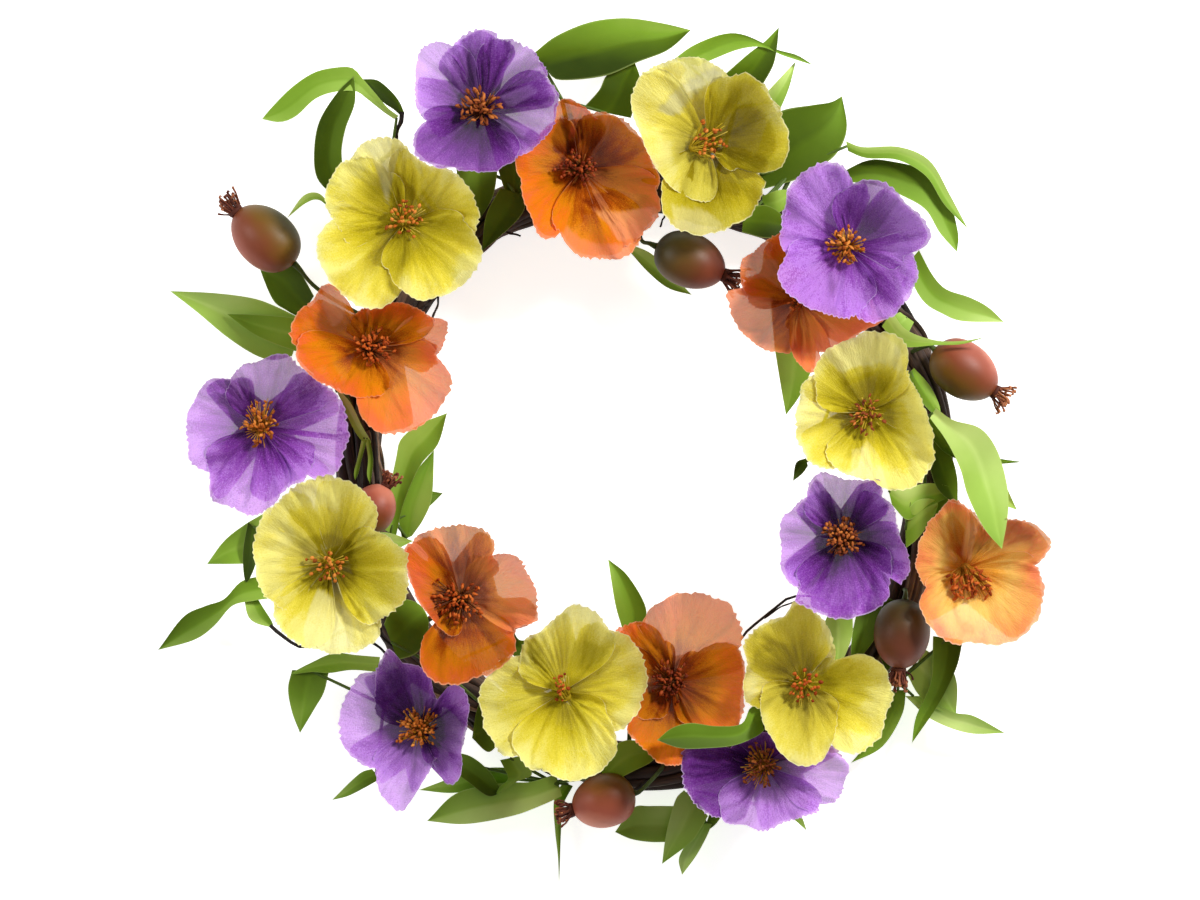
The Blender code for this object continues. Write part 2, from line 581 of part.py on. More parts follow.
for number, (stalk, e0, e1, half, calyx, hz) in enumerate(HIPS.values(), 1):
    z = hz * 0.001
    a, b, c = at(e0[0], e0[1], z), at(e1[0], e1[1], z), at(calyx[0], calyx[1], z)
    w = half * UNIT
    sp = at(stalk[0][0], stalk[0][1], 0.5 * (z + 0.027))
    root = ring_point(stalk[0][0], stalk[0][1], 0.024)
    line = [(root, STALK_R, STALK_R)]
    if (sp - root).length > 0.016:
        line.append((sp, STALK_R, STALK_R))
    for f, r in BERRY:
        line.append((a.lerp(b, f), w * r, w * r))
    line.append((b.lerp(c, 0.25), w * 0.24, w * 0.24))
    line.append((c, w * 0.44, w * 0.44))
    hv, hf = loft(line, 7)
    hip = new_object("rose_hip_%d" % number, hv, hf, "hip", sharp=60)
    boolean(hip, CLEAR, 'DIFFERENCE')

# ---- leaves -------------------------------------------------------------------------
def smooth_line(pts, steps):
    """Points along a smooth curve through pts."""
    out = []
    n = len(pts)
    for s in range(steps + 1):
        f = s / steps * (n - 1)
        i = min(int(f), n - 2)
        t = f - i
        p0, p1, p2, p3 = pts[max(i - 1, 0)], pts[i], pts[i + 1], pts[min(i + 2, n - 1)]
        out.append(tuple(0.5 * (2 * b + (c - a) * t + (2 * a - 5 * b + 4 * c - d) * t * t
                                + (3 * b - a - 3 * c + d) * t ** 3)
                         for a, b, c, d in zip(p0, p1, p2, p3)))
    return out


def blade_width(t):
    """Half width of a blade at the fraction t from its base, as a part of the widest."""
    return math.sin(math.pi * min(1.0, max(0.0, t)) ** 0.82) ** 0.8


BLADE_STEPS = 4
SMALL = ("L3", "L8", "L19", "L33b", "L37")      # leaflets too slight to build as solids

for number, (fork, fz, leaves) in enumerate(SPRIGS.values(), 1):
    z = fz * 0.001
    f = at(fork[0], fork[1], z)
    root = ring_point(fork[0], fork[1], min(z, 0.027))
    sv, sf = loft([(root, STALK_R, STALK_R),
                   (f + (f - root).normalized() * 0.002, STALK_R * 1.2, STALK_R * 1.2)], 5)
    sprig = new_object("leaf_sprig_%02d" % number, sv, sf, "leaf")
    for leaf, (line, half, lz0, lz1) in leaves.items():
        if leaf in SMALL:
            continue
        pts = smooth_line(line, BLADE_STEPS)
        st = [(f + Vector((0, 0, 0.0002)), PETIOLE_R, PETIOLE_R)]
        base = at(pts[0][0], pts[0][1], lz0 * 0.001)
        if (base - f).length > 0.02:
            st.append((f.lerp(base, 0.6), PETIOLE_R, PETIOLE_R))
        for i, p in enumerate(pts):
            t = i / BLADE_STEPS
            h = (lz0 + (lz1 - lz0) * t) * 0.001
            w = max(half * UNIT * blade_width(t), PETIOLE_R * (1.0 if i == 0 else 0.5))
            st.append((at(p[0], p[1], h), w, LEAF_THICK if i < BLADE_STEPS else LEAF_THICK * 0.6))
        lv, lf = loft(st, 4, flat=True)
        shape = tool(new_object(leaf + "_shape", lv, lf, "leaf"))
        boolean(sprig, shape, 'UNION')
    boolean(sprig, CLEAR, 'DIFFERENCE')
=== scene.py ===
"""Poppy wreath, its looks: cloth petals with frayed, ruffled rims in two layers,
tufts of stamens, satin rose hips with dried calyxes, moulded foam leaves on wired
sprigs, and a ring of twisted vines, lying face up on a pale floor.
"""
import math

import bpy
import numpy as np
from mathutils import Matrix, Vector


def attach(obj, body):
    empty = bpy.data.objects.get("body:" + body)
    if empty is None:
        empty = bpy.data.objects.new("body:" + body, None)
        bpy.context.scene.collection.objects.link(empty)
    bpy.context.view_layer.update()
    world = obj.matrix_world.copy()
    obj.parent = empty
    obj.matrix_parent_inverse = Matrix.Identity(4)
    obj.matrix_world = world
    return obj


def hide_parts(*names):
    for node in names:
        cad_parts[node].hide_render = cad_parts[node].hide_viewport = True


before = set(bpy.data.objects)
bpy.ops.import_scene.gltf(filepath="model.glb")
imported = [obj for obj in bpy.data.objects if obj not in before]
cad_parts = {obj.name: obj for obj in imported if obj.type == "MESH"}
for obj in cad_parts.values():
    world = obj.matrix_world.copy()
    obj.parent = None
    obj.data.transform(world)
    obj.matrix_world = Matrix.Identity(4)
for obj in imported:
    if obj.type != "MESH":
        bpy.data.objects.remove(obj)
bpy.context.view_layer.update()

# ---- layout of the wreath -----------------------------------------------------
# One plan unit is 0.625 mm.  Plan positions are (across, down) from the top left
# corner of a 1200 x 900 sheet, as seen from an eye VIEW metres above the floor.
UNIT = 0.000625
MID_X, MID_Y = 601.6, 455.8
VIEW = 5.0

RING_MID = (640.0, 475.0)      # middle of the vine ring
RING_R = 288.0                 # its centreline radius in plan units
TUBE_R = 0.0165                # mean radius of the bundle of vines
TUBE_LOBE = 0.0018             # how far each vine stands out of the bundle
HEART_R = 23.0                 # flat middle of a flower, plan units
PETAL_LEN = 0.056              # a petal from heart to rim, flattened out


def plan(px, py, z=0.0):
    """Plan position to metres, seen true from the eye whatever its height z."""
    k = UNIT * (1.0 - z / VIEW)
    return ((px - MID_X) * k, (MID_Y - py) * k)


# A petal is its rim, from one shoulder round the crown to the other, then its
# lift (mm from heart to rim, None for what its length gives) and its order in
# the flower, 0 lying lowest.
FLOWERS = {
    "p1": ("purple", (481, 110), [
        ([(450, 50), (462, 36), (480, 28), (498, 35)], 26, 0),
        ([(497, 38), (522, 43), (538, 56), (548, 80)], None, 1),
        ([(545, 76), (558, 96), (555, 120), (545, 138), (515, 158)], None, 2),
        ([(422, 122), (413, 150), (430, 164), (458, 169), (475, 172), (500, 169), (516, 157)], None, 3),
        ([(453, 46), (437, 41), (422, 48), (415, 80), (418, 110), (430, 126)], None, 1)]),
    "y1": ("yellow", (404, 222), [
        ([(350, 157), (375, 138), (397, 139), (411, 153)], 22, 0),
        ([(388, 172), (375, 160), (350, 158), (335, 172), (325, 195), (330, 215), (342, 232)], None, 2),
        ([(404, 148), (425, 163), (455, 172), (475, 200), (480, 215), (474, 236)], None, 1),
        ([(464, 221), (475, 233), (482, 256), (470, 278), (450, 293), (422, 300), (402, 291), (388, 270)], None, 3),
        ([(330, 220), (317, 238), (320, 262), (345, 298), (375, 309), (392, 302), (404, 288)], None, 2)]),
    "o1": ("orange", (580, 170), [
        ([(554, 122), (557, 101), (580, 104), (594, 117)], 24, 0),
        ([(590, 114), (610, 113), (635, 130), (655, 165), (660, 182), (652, 196)], None, 1),
        ([(558, 118), (530, 150), (516, 157), (520, 180), (530, 215), (540, 235), (556, 237), (566, 226)], None, 1),
        ([(656, 188), (660, 208), (650, 226), (638, 240)], None, 2),
        ([(560, 230), (577, 255), (602, 258), (628, 256), (642, 236)], None, 2)]),
    "y2": ("yellow", (708, 143), [
        ([(640, 77), (655, 66), (688, 58), (712, 62), (728, 77)], 26, 0),
        ([(644, 72), (631, 98), (638, 130), (652, 160), (675, 190), (704, 202)], None, 2),
        ([(724, 77), (752, 75), (772, 97), (789, 140), (783, 165), (762, 173), (738, 168)], None, 2),
        ([(662, 180), (665, 215), (685, 233), (715, 232), (750, 215), (766, 180)], None, 1)]),
    "p2": ("purple", (847, 247), [
        ([(854, 184), (838, 163), (810, 168), (790, 187), (782, 225), (779, 238), (789, 258)], None, 1),
        ([(842, 192), (865, 180), (890, 185), (905, 202), (930, 230), (925, 246), (904, 256)], None, 2),
        ([(788, 252), (778, 276), (792, 297), (822, 312), (850, 318), (870, 300)], None, 3),
        ([(912, 250), (917, 278), (905, 302), (880, 322), (856, 318)], None, 2)]),
    "o2": ("orange", (800, 300), [
        ([(784, 230), (757, 249), (742, 262), (741, 282), (748, 297)], None, 1),
        ([(742, 288), (728, 292), (731, 312), (743, 333), (762, 348), (790, 353)], None, 0),
        ([(789, 330), (791, 350), (797, 362), (812, 372), (822, 362)], 14, 2),
        ([(816, 352), (835, 350), (860, 333), (886, 318)], None, 1),
        ([(878, 322), (868, 290), (845, 262), (815, 245), (785, 238)], None, 0)]),
    "y3": ("yellow", (868, 412), [
        ([(817, 395), (816, 366), (824, 352), (848, 340), (866, 332), (884, 332), (899, 336), (908, 352), (907, 370)], 26, 2),
        ([(814, 374), (802, 384), (800, 398), (795, 420), (799, 444), (812, 464), (836, 469)], None, 0),
        ([(830, 462), (846, 474), (870, 480), (884, 489), (900, 490), (913, 487), (926, 478)], None, 1),
        ([(902, 362), (912, 382), (925, 408), (933, 436), (935, 455), (928, 472), (916, 484)], None, 1)]),
    "p3": ("purple", (261, 428), [
        ([(229, 386), (237, 369), (258, 361), (288, 355), (304, 370), (323, 382)], None, 1),
        ([(234, 380), (215, 378), (204, 385), (194, 400), (187, 416), (188, 445), (192, 464), (210, 472)], None, 0),
        ([(318, 381), (338, 396), (349, 430), (345, 452), (334, 474), (312, 478)], None, 1),
        ([(207, 462), (209, 478), (213, 500), (234, 508), (250, 515), (266, 511), (280, 496)], None, 2),
        ([(272, 500), (290, 486), (306, 478), (312, 464)], None, 1)]),
    "o3": ("orange", (370, 348), [
        ([(349, 302), (330, 284), (312, 300), (291, 323), (291, 338), (300, 350)], None, 1),
        ([(296, 345), (298, 361), (309, 374), (332, 388), (352, 396), (384, 394)], None, 2),
        ([(356, 400), (362, 417), (383, 434), (408, 431), (433, 417), (449, 392), (450, 375), (436, 356)], None, 1),
        ([(436, 356), (444, 343), (446, 322), (432, 317)], None, 0),
        ([(432, 317), (415, 307), (398, 302), (378, 308), (362, 309), (350, 322)], 24, 1)]),
    "p4": ("purple", (843, 538), [
        ([(806, 500), (811, 480), (821, 472), (834, 476), (852, 480), (868, 480), (880, 480), (882, 496)], 28, 1),
        ([(812, 494), (793, 508), (783, 517), (781, 548), (783, 574), (798, 589)], None, 0),
        ([(878, 494), (893, 507), (899, 533), (909, 561), (909, 574), (900, 584)], None, 1),
        ([(800, 585), (796, 600), (815, 612), (837, 619), (864, 614), (886, 602), (890, 585), (891, 562)], None, 2)]),
    "o4": ("orange", (965, 568), [
        ([(951, 500), (940, 510), (929, 522), (919, 543), (917, 572), (926, 587)], 26, 1),
        ([(948, 500), (960, 502), (973, 512), (985, 528), (1003, 548)], 24, 0),
        ([(1004, 519), (1031, 522), (1044, 534), (1052, 545), (1042, 560), (1030, 568)], None, 1),
        ([(926, 588), (919, 602), (925, 618), (936, 634), (952, 643), (975, 643), (998, 645), (1020, 638), (1037, 620), (1044, 590), (1038, 566)], None, 2)]),
    "y4": ("yellow", (330, 563), [
        ([(279, 500), (303, 481), (336, 477), (358, 486), (373, 502), (378, 520), (374, 532)], None, 1),
        ([(282, 498), (256, 528), (255, 562), (260, 588), (272, 600)], None, 1),
        ([(264, 594), (273, 604), (275, 620), (292, 640), (310, 648)], None, 1),
        ([(300, 644), (337, 653), (365, 648), (378, 636), (381, 618)], None, 0),
        ([(374, 530), (392, 540), (408, 556), (407, 574), (409, 588), (400, 606), (378, 621)], None, 2)]),
    "o5": ("orange", (460, 598), [
        ([(414, 540), (424, 532), (445, 526), (470, 526), (487, 531), (495, 547), (492, 556)], None, 1),
        ([(484, 557), (500, 554), (522, 560), (528, 574), (536, 592), (537, 622)], None, 1),
        ([(424, 634), (420, 655), (428, 677), (452, 685), (470, 680), (494, 671), (514, 653), (516, 630), (534, 623)], None, 0),
        ([(420, 538), (405, 549), (409, 578), (417, 598), (431, 618), (452, 636)], 30, 2)]),
    "p5": ("purple", (420, 730), [
        ([(376, 704), (376, 676), (381, 658), (390, 649), (402, 662), (428, 671), (433, 690), (438, 702)], None, 2),
        ([(384, 672), (360, 675), (350, 688), (340, 715), (341, 742), (356, 760), (378, 770)], None, 0),
        ([(376, 766), (378, 787), (388, 803), (402, 811), (414, 796), (424, 780), (434, 760)], None, 1),
        ([(438, 700), (447, 687), (460, 686), (467, 697), (466, 730), (462, 752), (456, 782), (444, 782), (434, 764)], 28, 2)]),
    "y5": ("yellow", (562, 692), [
        ([(520, 664), (524, 642), (546, 627), (560, 612), (577, 605), (594, 611), (610, 631)], None, 2),
        ([(606, 629), (624, 634), (644, 658), (647, 680), (642, 702), (634, 719), (614, 732)], None, 1),
        ([(517, 752), (524, 764), (545, 772), (565, 781), (582, 779), (603, 770), (614, 757), (616, 736), (606, 712)], None, 3),
        ([(521, 756), (500, 753), (490, 738), (482, 716), (479, 695), (486, 680), (500, 661), (522, 655)], None, 1)]),
    "o6": ("orange", (672, 682), [
        ([(641, 624), (655, 605), (674, 595), (706, 594), (730, 606), (740, 622), (742, 645)], 24, 0),
        ([(612, 640), (622, 626), (642, 622), (656, 628), (664, 640)], 15, 1),
        ([(697, 652), (720, 642), (737, 647), (745, 666), (744, 694), (738, 728), (718, 733), (690, 723)], 13, 2),
        ([(682, 764), (660, 763), (644, 750), (627, 727), (634, 716)], None, 1),
        ([(622, 650), (640, 690), (637, 716), (657, 718)], 22, 2)]),
    "p6": ("purple", (764, 765), [
        ([(700, 742), (683, 750), (681, 770), (690, 797), (708, 815), (722, 817)], None, 1),
        ([(721, 806), (724, 822), (744, 825), (764, 831), (783, 823), (803, 817), (820, 811)], None, 2),
        ([(821, 804), (836, 801), (845, 783), (848, 767), (834, 745)], None, 1),
        ([(796, 744), (772, 733), (745, 735), (730, 748)], 8, 0)]),
    "y6": ("yellow", (803, 684), [
        ([(758, 709), (746, 702), (747, 664), (744, 645), (756, 627), (784, 616), (797, 600), (815, 612), (826, 622)], 24, 1),
        ([(836, 660), (862, 654), (882, 665), (892, 688), (885, 722), (872, 746), (850, 754), (834, 747)], None, 0),
        ([(762, 692), (760, 708), (771, 738), (785, 757), (800, 765), (818, 764), (832, 742), (837, 712)], None, 2)]),
}

# Flowers from the lowest to the highest of the pile.
PILE = ["p6", "o6", "y6", "p3", "o3", "y1", "o2", "p4", "y3", "y5", "p5", "o5",
        "y4", "o1", "p1", "y2", "p2", "o4"]

# A rose hip: root of its stalk, the two ends of the berry, its half width, the
# end of the dried calyx, and the height of its middle in mm.
HIPS = {
    "h1": ([(322, 292)], (291, 261), (239, 214), 32, (222, 199), 50),
    "h2": ([(640, 236)], (656, 246), (724, 275), 28, (742, 284), 46),
    "h3": ([(916, 350)], (938, 352), (991, 389), 31, (1008, 401), 42),
    "h4": ([(352, 540)], (361, 531), (386, 486), 23, (391, 472), 50),
    "h5": ([(905, 590)], (905, 601), (899, 667), 30, (894, 694), 54),
    "h6": ([(662, 768)], (632, 793), (575, 809), 28, (553, 811), 40),
}

# A leaf: blade from base to tip, half width, height of base and tip in mm.
# Leaves of one sprig share a stalk from the ring to the fork.
SPRIGS = {
    "s01": ((392, 152), 24, {
        "L1": ([(402, 118), (365, 87), (325, 83), (288, 100), (263, 119)], 13, 30, 36),
        "L2": ([(345, 172), (329, 145), (337, 110), (353, 77)], 14, 22, 30),
        "L3": ([(338, 200), (310, 202), (287, 218)], 8, 20, 18)}),
    "s02": ((562, 100), 24, {
        "L4": ([(543, 60), (585, 52), (635, 40), (691, 30)], 23, 28, 34),
        "L5": ([(600, 116), (616, 92), (636, 64)], 20, 22, 28)}),
    "s03": ((735, 108), 22, {
        "L6": ([(680, 62), (710, 48), (742, 41), (776, 49), (813, 65)], 9, 28, 30),
        "L7": ([(738, 80), (758, 56), (779, 28)], 14, 22, 32),
        "L8": ([(772, 103), (783, 84), (796, 61)], 11, 20, 24)}),
    "s04": ((795, 168), 26, {
        "L9": ([(780, 172), (806, 140), (842, 98)], 26, 26, 30),
        "L10": ([(846, 156), (890, 153), (932, 174), (967, 229)], 10, 30, 26),
        "L11": ([(862, 178), (903, 180), (938, 206), (958, 251)], 14, 22, 22)}),
    "s05": ((898, 300), 42, {
        "L12": ([(915, 264), (934, 289), (966, 305), (1004, 322)], 11, 42, 32),
        "L13": ([(892, 322), (930, 335), (986, 337)], 11, 46, 64)}),
    "s06": ((925, 418), 42, {
        "L17": ([(950, 420), (978, 452), (993, 500), (1002, 549)], 20, 54, 92),
        "L18": ([(936, 428), (952, 447), (985, 459), (1023, 462)], 6, 46, 52),
        "L20": ([(930, 420), (943, 455), (957, 500)], 17, 42, 42)}),
    "s07": ((838, 388), 20, {
        "L15": ([(800, 352), (790, 382), (786, 416)], 16, 22, 24),
        "L19": ([(808, 458), (799, 466), (793, 481)], 7, 22, 22)}),
    "s08": ((898, 682), 20, {
        "L22": ([(942, 652), (938, 695), (913, 744)], 14, 24, 26),
        "L23": ([(915, 698), (955, 714), (1006, 734)], 10, 20, 20),
        "L25": ([(903, 700), (893, 733), (852, 763)], 14, 16, 14)}),
    "s09": ((868, 590), 41, {
        "L49": ([(838, 616), (845, 638), (841, 664)], 10, 42, 46),
        "L50": ([(874, 616), (866, 634), (853, 657)], 11, 41, 42)}),
    "s10": ((690, 790), 18, {
        "L27": ([(674, 806), (645, 820), (615, 833)], 17, 18, 16),
        "L28": ([(690, 802), (683, 832), (663, 864)], 17, 20, 18),
        "L29": ([(706, 822), (700, 850), (683, 875)], 11, 16, 14)}),
    "s11": ((786, 722), 52, {
        "L26": ([(768, 722), (724, 738), (692, 738), (657, 740)], 13, 74, 92)}),
    "s12": ((552, 782), 14, {
        "L31": ([(569, 784), (556, 814), (559, 888)], 4, 12, 10),
        "L32": ([(545, 795), (505, 795), (465, 809), (427, 822)], 20, 18, 20),
        "L33b": ([(530, 778), (480, 774), (419, 788)], 13, 12, 10)}),
    "s13": ((384, 705), 22, {
        "L33": ([(378, 768), (354, 783), (332, 799)], 7, 20, 16),
        "L34": ([(374, 662), (335, 661), (304, 676), (300, 733)], 13, 24, 18)}),
    "s14": ((292, 560), 24, {
        "L35": ([(266, 588), (225, 604), (190, 627), (158, 650)], 12, 24, 22),
        "L36": ([(262, 522), (236, 538), (207, 564)], 13, 26, 24),
        "L37": ([(258, 570), (252, 600), (272, 628)], 9, 20, 18)}),
    "s15": ((315, 330), 22, {
        "L38": ([(286, 334), (232, 322), (170, 291)], 24, 22, 26),
        "L40": ([(310, 314), (292, 290), (262, 270)], 19, 20, 16)}),
    "s16": ((394, 520), 24, {
        "L41": ([(396, 512), (408, 470), (447, 414)], 17, 26, 34),
        "L42": ([(406, 534), (419, 497), (433, 451)], 15, 22, 24)}),
    "s17": ((632, 672), 22, {
        "L44": ([(637, 628), (631, 600), (608, 560)], 14, 22, 26)}),
}


def polar(c, p):
    return math.atan2(c[1] - p[1], p[0] - c[0]), math.hypot(p[0] - c[0], p[1] - c[1])


def rim_knots(c, rim):
    """A rim as (angle, radius) knots about the heart, the angles rising."""
    out = []
    for p in rim:
        a, r = polar(c, p)
        if out:
            while a - out[-1][0] > math.pi:
                a -= 2 * math.pi
            while a - out[-1][0] < -math.pi:
                a += 2 * math.pi
        out.append((a, r))
    if out[-1][0] < out[0][0]:
        out.reverse()
    fixed = [out[0]]
    for a, r in out[1:]:
        fixed.append((max(a, fixed[-1][0] + 0.03), r))
    return fixed


def rim_radius(knots, a):
    """Smooth radius of the rim at the angle a, or None outside the petal."""
    first, last = knots[0][0], knots[-1][0]
    while a < first:
        a += 2 * math.pi
    while a > first + 2 * math.pi:
        a -= 2 * math.pi
    if a > last:
        return None
    for i in range(len(knots) - 1):
        (a0, r0), (a1, r1) = knots[i], knots[i + 1]
        if a <= a1:
            t = (a - a0) / (a1 - a0)
            m0 = (r1 - knots[i - 1][1]) / (a1 - knots[i - 1][0]) if i > 0 else (r1 - r0) / (a1 - a0)
            m1 = (knots[i + 2][1] - r0) / (knots[i + 2][0] - a0) if i + 2 < len(knots) else (r1 - r0) / (a1 - a0)
            m0 *= a1 - a0
            m1 *= a1 - a0
            return ((2 * t ** 3 - 3 * t * t + 1) * r0 + (t ** 3 - 2 * t * t + t) * m0
                    + (3 * t * t - 2 * t ** 3) * r1 + (t ** 3 - t * t) * m1)
    return knots[-1][1]


def petal_lift(knots, lift):
    """Height of a rim over the heart: what its length leaves after its reach."""
    if lift is not None:
        return lift * 0.001
    reach = UNIT * sum(r for _, r in knots) / len(knots)
    return min(0.026, max(0.005, 0.62 * math.sqrt(max(0.0, PETAL_LEN ** 2 - reach ** 2))))


def flower_petals(name):
    colour, heart, petals = FLOWERS[name]
    out = []
    for rim, lift, order in petals:
        knots = rim_knots(heart, rim)
        out.append((knots, petal_lift(knots, lift), order))
    return out


def corolla_at(petals, a):
    """Reach and lift of the whole flower at the angle a."""
    best = (0.0, 0.0)
    for knots, lift, order in petals:
        r = rim_radius(knots, a)
        if r is not None and r > best[0]:
            best = (r, lift)
    return best


def cup(v):
    """Height fraction at the fraction v of the way from the heart to the rim."""
    return max(0.0, v) ** 1.35


CUP_STEPS = 20


def corolla_table(name):
    """Reach and lift at CUP_STEPS angles, eased a little from step to step."""
    petals = flower_petals(name)
    raw = [corolla_at(petals, 2 * math.pi * i / CUP_STEPS) for i in range(CUP_STEPS)]
    raw = [(max(r, HEART_R + 8), l) for r, l in raw]
    out = []
    for i in range(CUP_STEPS):
        l = (raw[i - 1][1] + 2 * raw[i][1] + raw[(i + 1) % CUP_STEPS][1]) / 4
        out.append((raw[i][0], l))
    return out


def corolla_height(table, heart, px, py):
    """Height of the top of a flower over its own heart, or None off the flower."""
    a, r = polar(heart, (px, py))
    f = (a % (2 * math.pi)) / (2 * math.pi) * CUP_STEPS
    i = int(f) % CUP_STEPS
    t = f - int(f)
    reach = table[i][0] * (1 - t) + table[(i + 1) % CUP_STEPS][0] * t
    lift = table[i][1] * (1 - t) + table[(i + 1) % CUP_STEPS][1] * t
    if r > reach + 2.0:
        return None
    return lift * cup((min(r, reach) - HEART_R) / (reach - HEART_R))


def settle(lowest=0.056, gap=0.0012, thick=0.0022):
    """Heart height of every flower, each laid on the ones below it in the pile."""
    tables = {n: corolla_table(n) for n in PILE}
    hearts = {}
    for n in PILE:
        hx, hy = FLOWERS[n][1]
        z = lowest
        for i in range(72):
            a = 2 * math.pi * i / 72
            f = a / (2 * math.pi) * CUP_STEPS
            j = int(f) % CUP_STEPS
            reach = tables[n][j][0] * (1 - (f - int(f))) + tables[n][(j + 1) % CUP_STEPS][0] * (f - int(f))
            for v in (0.2, 0.35, 0.5, 0.65, 0.75, 0.85, 0.92, 1.0):
                px = hx + reach * v * math.cos(a)
                py = hy - reach * v * math.sin(a)
                mine = corolla_height(tables[n], (hx, hy), px, py)
                if mine is None:
                    continue
                for m in hearts:
                    under = corolla_height(tables[m], FLOWERS[m][1], px, py)
                    if under is not None:
                        z = max(z, hearts[m] + under + thick + gap - mine)
                for s, e0, e1, hw, cal, hz in HIPS.values():
                    mx, my = (e0[0] + e1[0]) / 2, (e0[1] + e1[1]) / 2
                    half = math.hypot(e1[0] - e0[0], e1[1] - e0[1]) / 2
                    ux, uy = (e1[0] - e0[0]) / (2 * half), (e1[1] - e0[1]) / (2 * half)
                    along = ((px - mx) * ux + (py - my) * uy) / (half + 4)
                    across = ((px - mx) * -uy + (py - my) * ux) / (hw + 3)
                    q = 1 - along * along - across * across
                    if q > 0:
                        z = max(z, hz * 0.001 + hw * UNIT * math.sqrt(q) + thick + gap - mine)
        hearts[n] = z
    return tables, hearts
# ---- end of layout ------------------------------------------------------------

scene = bpy.context.scene

# ---- camera, light and floor -----------------------------------------------------
cam_data = bpy.data.cameras.new("eye")
cam_data.sensor_width = 36.0
cam_data.lens = 240.0
cam_data.clip_start, cam_data.clip_end = 0.05, 60.0
cam = bpy.data.objects.new("eye", cam_data)
cam.location = ((600.0 - MID_X) * UNIT, (MID_Y - 450.0) * UNIT, VIEW)
scene.collection.objects.link(cam)
scene.camera = cam

scene.view_settings.view_transform = "Standard"
scene.view_settings.look = "None"

world = bpy.data.worlds.new("studio")
world.use_nodes = True
world.node_tree.nodes["Background"].inputs["Color"].default_value = (1.0, 1.0, 1.0, 1.0)
world.node_tree.nodes["Background"].inputs["Strength"].default_value = 0.30
scene.world = world


def area_light(name, place, size, power, aim=(0.0, 0.0, 0.05), colour=(1.0, 1.0, 1.0)):
    data = bpy.data.lights.new(name, "AREA")
    data.shape = "DISK"
    data.size = size
    data.energy = power
    data.color = colour
    ob = bpy.data.objects.new(name, data)
    ob.location = place
    ob.rotation_mode = "QUATERNION"
    ob.rotation_quaternion = (Vector(aim) - Vector(place)).to_track_quat("-Z", "Y")
    scene.collection.objects.link(ob)


area_light("right", (1.20, 0.95, 1.30), 0.40, 41.0)
area_light("left", (-1.45, 0.35, 1.20), 0.60, 13.0)


# ---- shader building ----------------------------------------------------------------
def srgb(r, g, b):
    def lin(c):
        c /= 255.0
        return c / 12.92 if c <= 0.04045 else ((c + 0.055) / 1.055) ** 2.4
    return (lin(r), lin(g), lin(b), 1.0)


class Net:
    """A material's node tree, with nodes and links made in one call."""

    def __init__(self, name):
        self.mat = bpy.data.materials.new(name)
        self.mat.use_nodes = True
        self.tree = self.mat.node_tree
        self.tree.nodes.clear()
        self.out = self.tree.nodes.new("ShaderNodeOutputMaterial")

    def add(self, kind, props=None, **inputs):
        n = self.tree.nodes.new("ShaderNode" + kind)
        for k, v in (props or {}).items():
            setattr(n, k, v)
        for k, v in inputs.items():
            self.set(n, k, v)
        return n

    def set(self, n, key, v):
        key = int(key[1:]) if key[0] == "i" and key[1:].isdigit() else key.replace("_", " ")
        s = n.inputs[key]
        if isinstance(v, bpy.types.NodeSocket):
            self.tree.links.new(v, s)
        elif isinstance(v, bpy.types.Node):
            self.tree.links.new(v.outputs[0], s)
        else:
            s.default_value = v

    def math(self, op, a, b=0.0, clamp=False):
        return self.add("Math", {"operation": op, "use_clamp": clamp}, i0=a, i1=b).outputs[0]

    def ramp(self, fac, stops, interpolation="LINEAR"):
        n = self.add("ValToRGB", i0=fac)
        r = n.color_ramp
        r.interpolation = interpolation
        while len(r.elements) < len(stops):
            r.elements.new(0.5)
        for e, (pos, col) in zip(r.elements, stops):
            e.position, e.color = pos, col
        return n.outputs[0]

    def mix(self, fac, a, b, blend="MIX"):
        n = self.add("Mix", {"data_type": "RGBA", "blend_type": blend})
        self.set(n, "i0", fac)
        self.set(n, "i6", a)
        self.set(n, "i7", b)
        return n.outputs[2]

    def noise(self, vector, scale, detail=2.0, rough=0.5):
        return self.add("TexNoise", {"noise_dimensions": "3D"}, Vector=vector, Scale=scale,
                        Detail=detail, Roughness=rough).outputs[0]

    def surface(self, shader):
        self.tree.links.new(shader.outputs[0], self.out.inputs["Surface"])


def values(net, name="look"):
    """The three values every point of a piece carries, and its own coordinates."""
    a = net.add("Attribute", {"attribute_name": name, "attribute_type": "GEOMETRY"})
    s = net.add("SeparateColor", i0=a.outputs["Color"])
    c = net.add("TexCoord")
    return s.outputs[0], s.outputs[1], s.outputs[2], c.outputs["Object"]


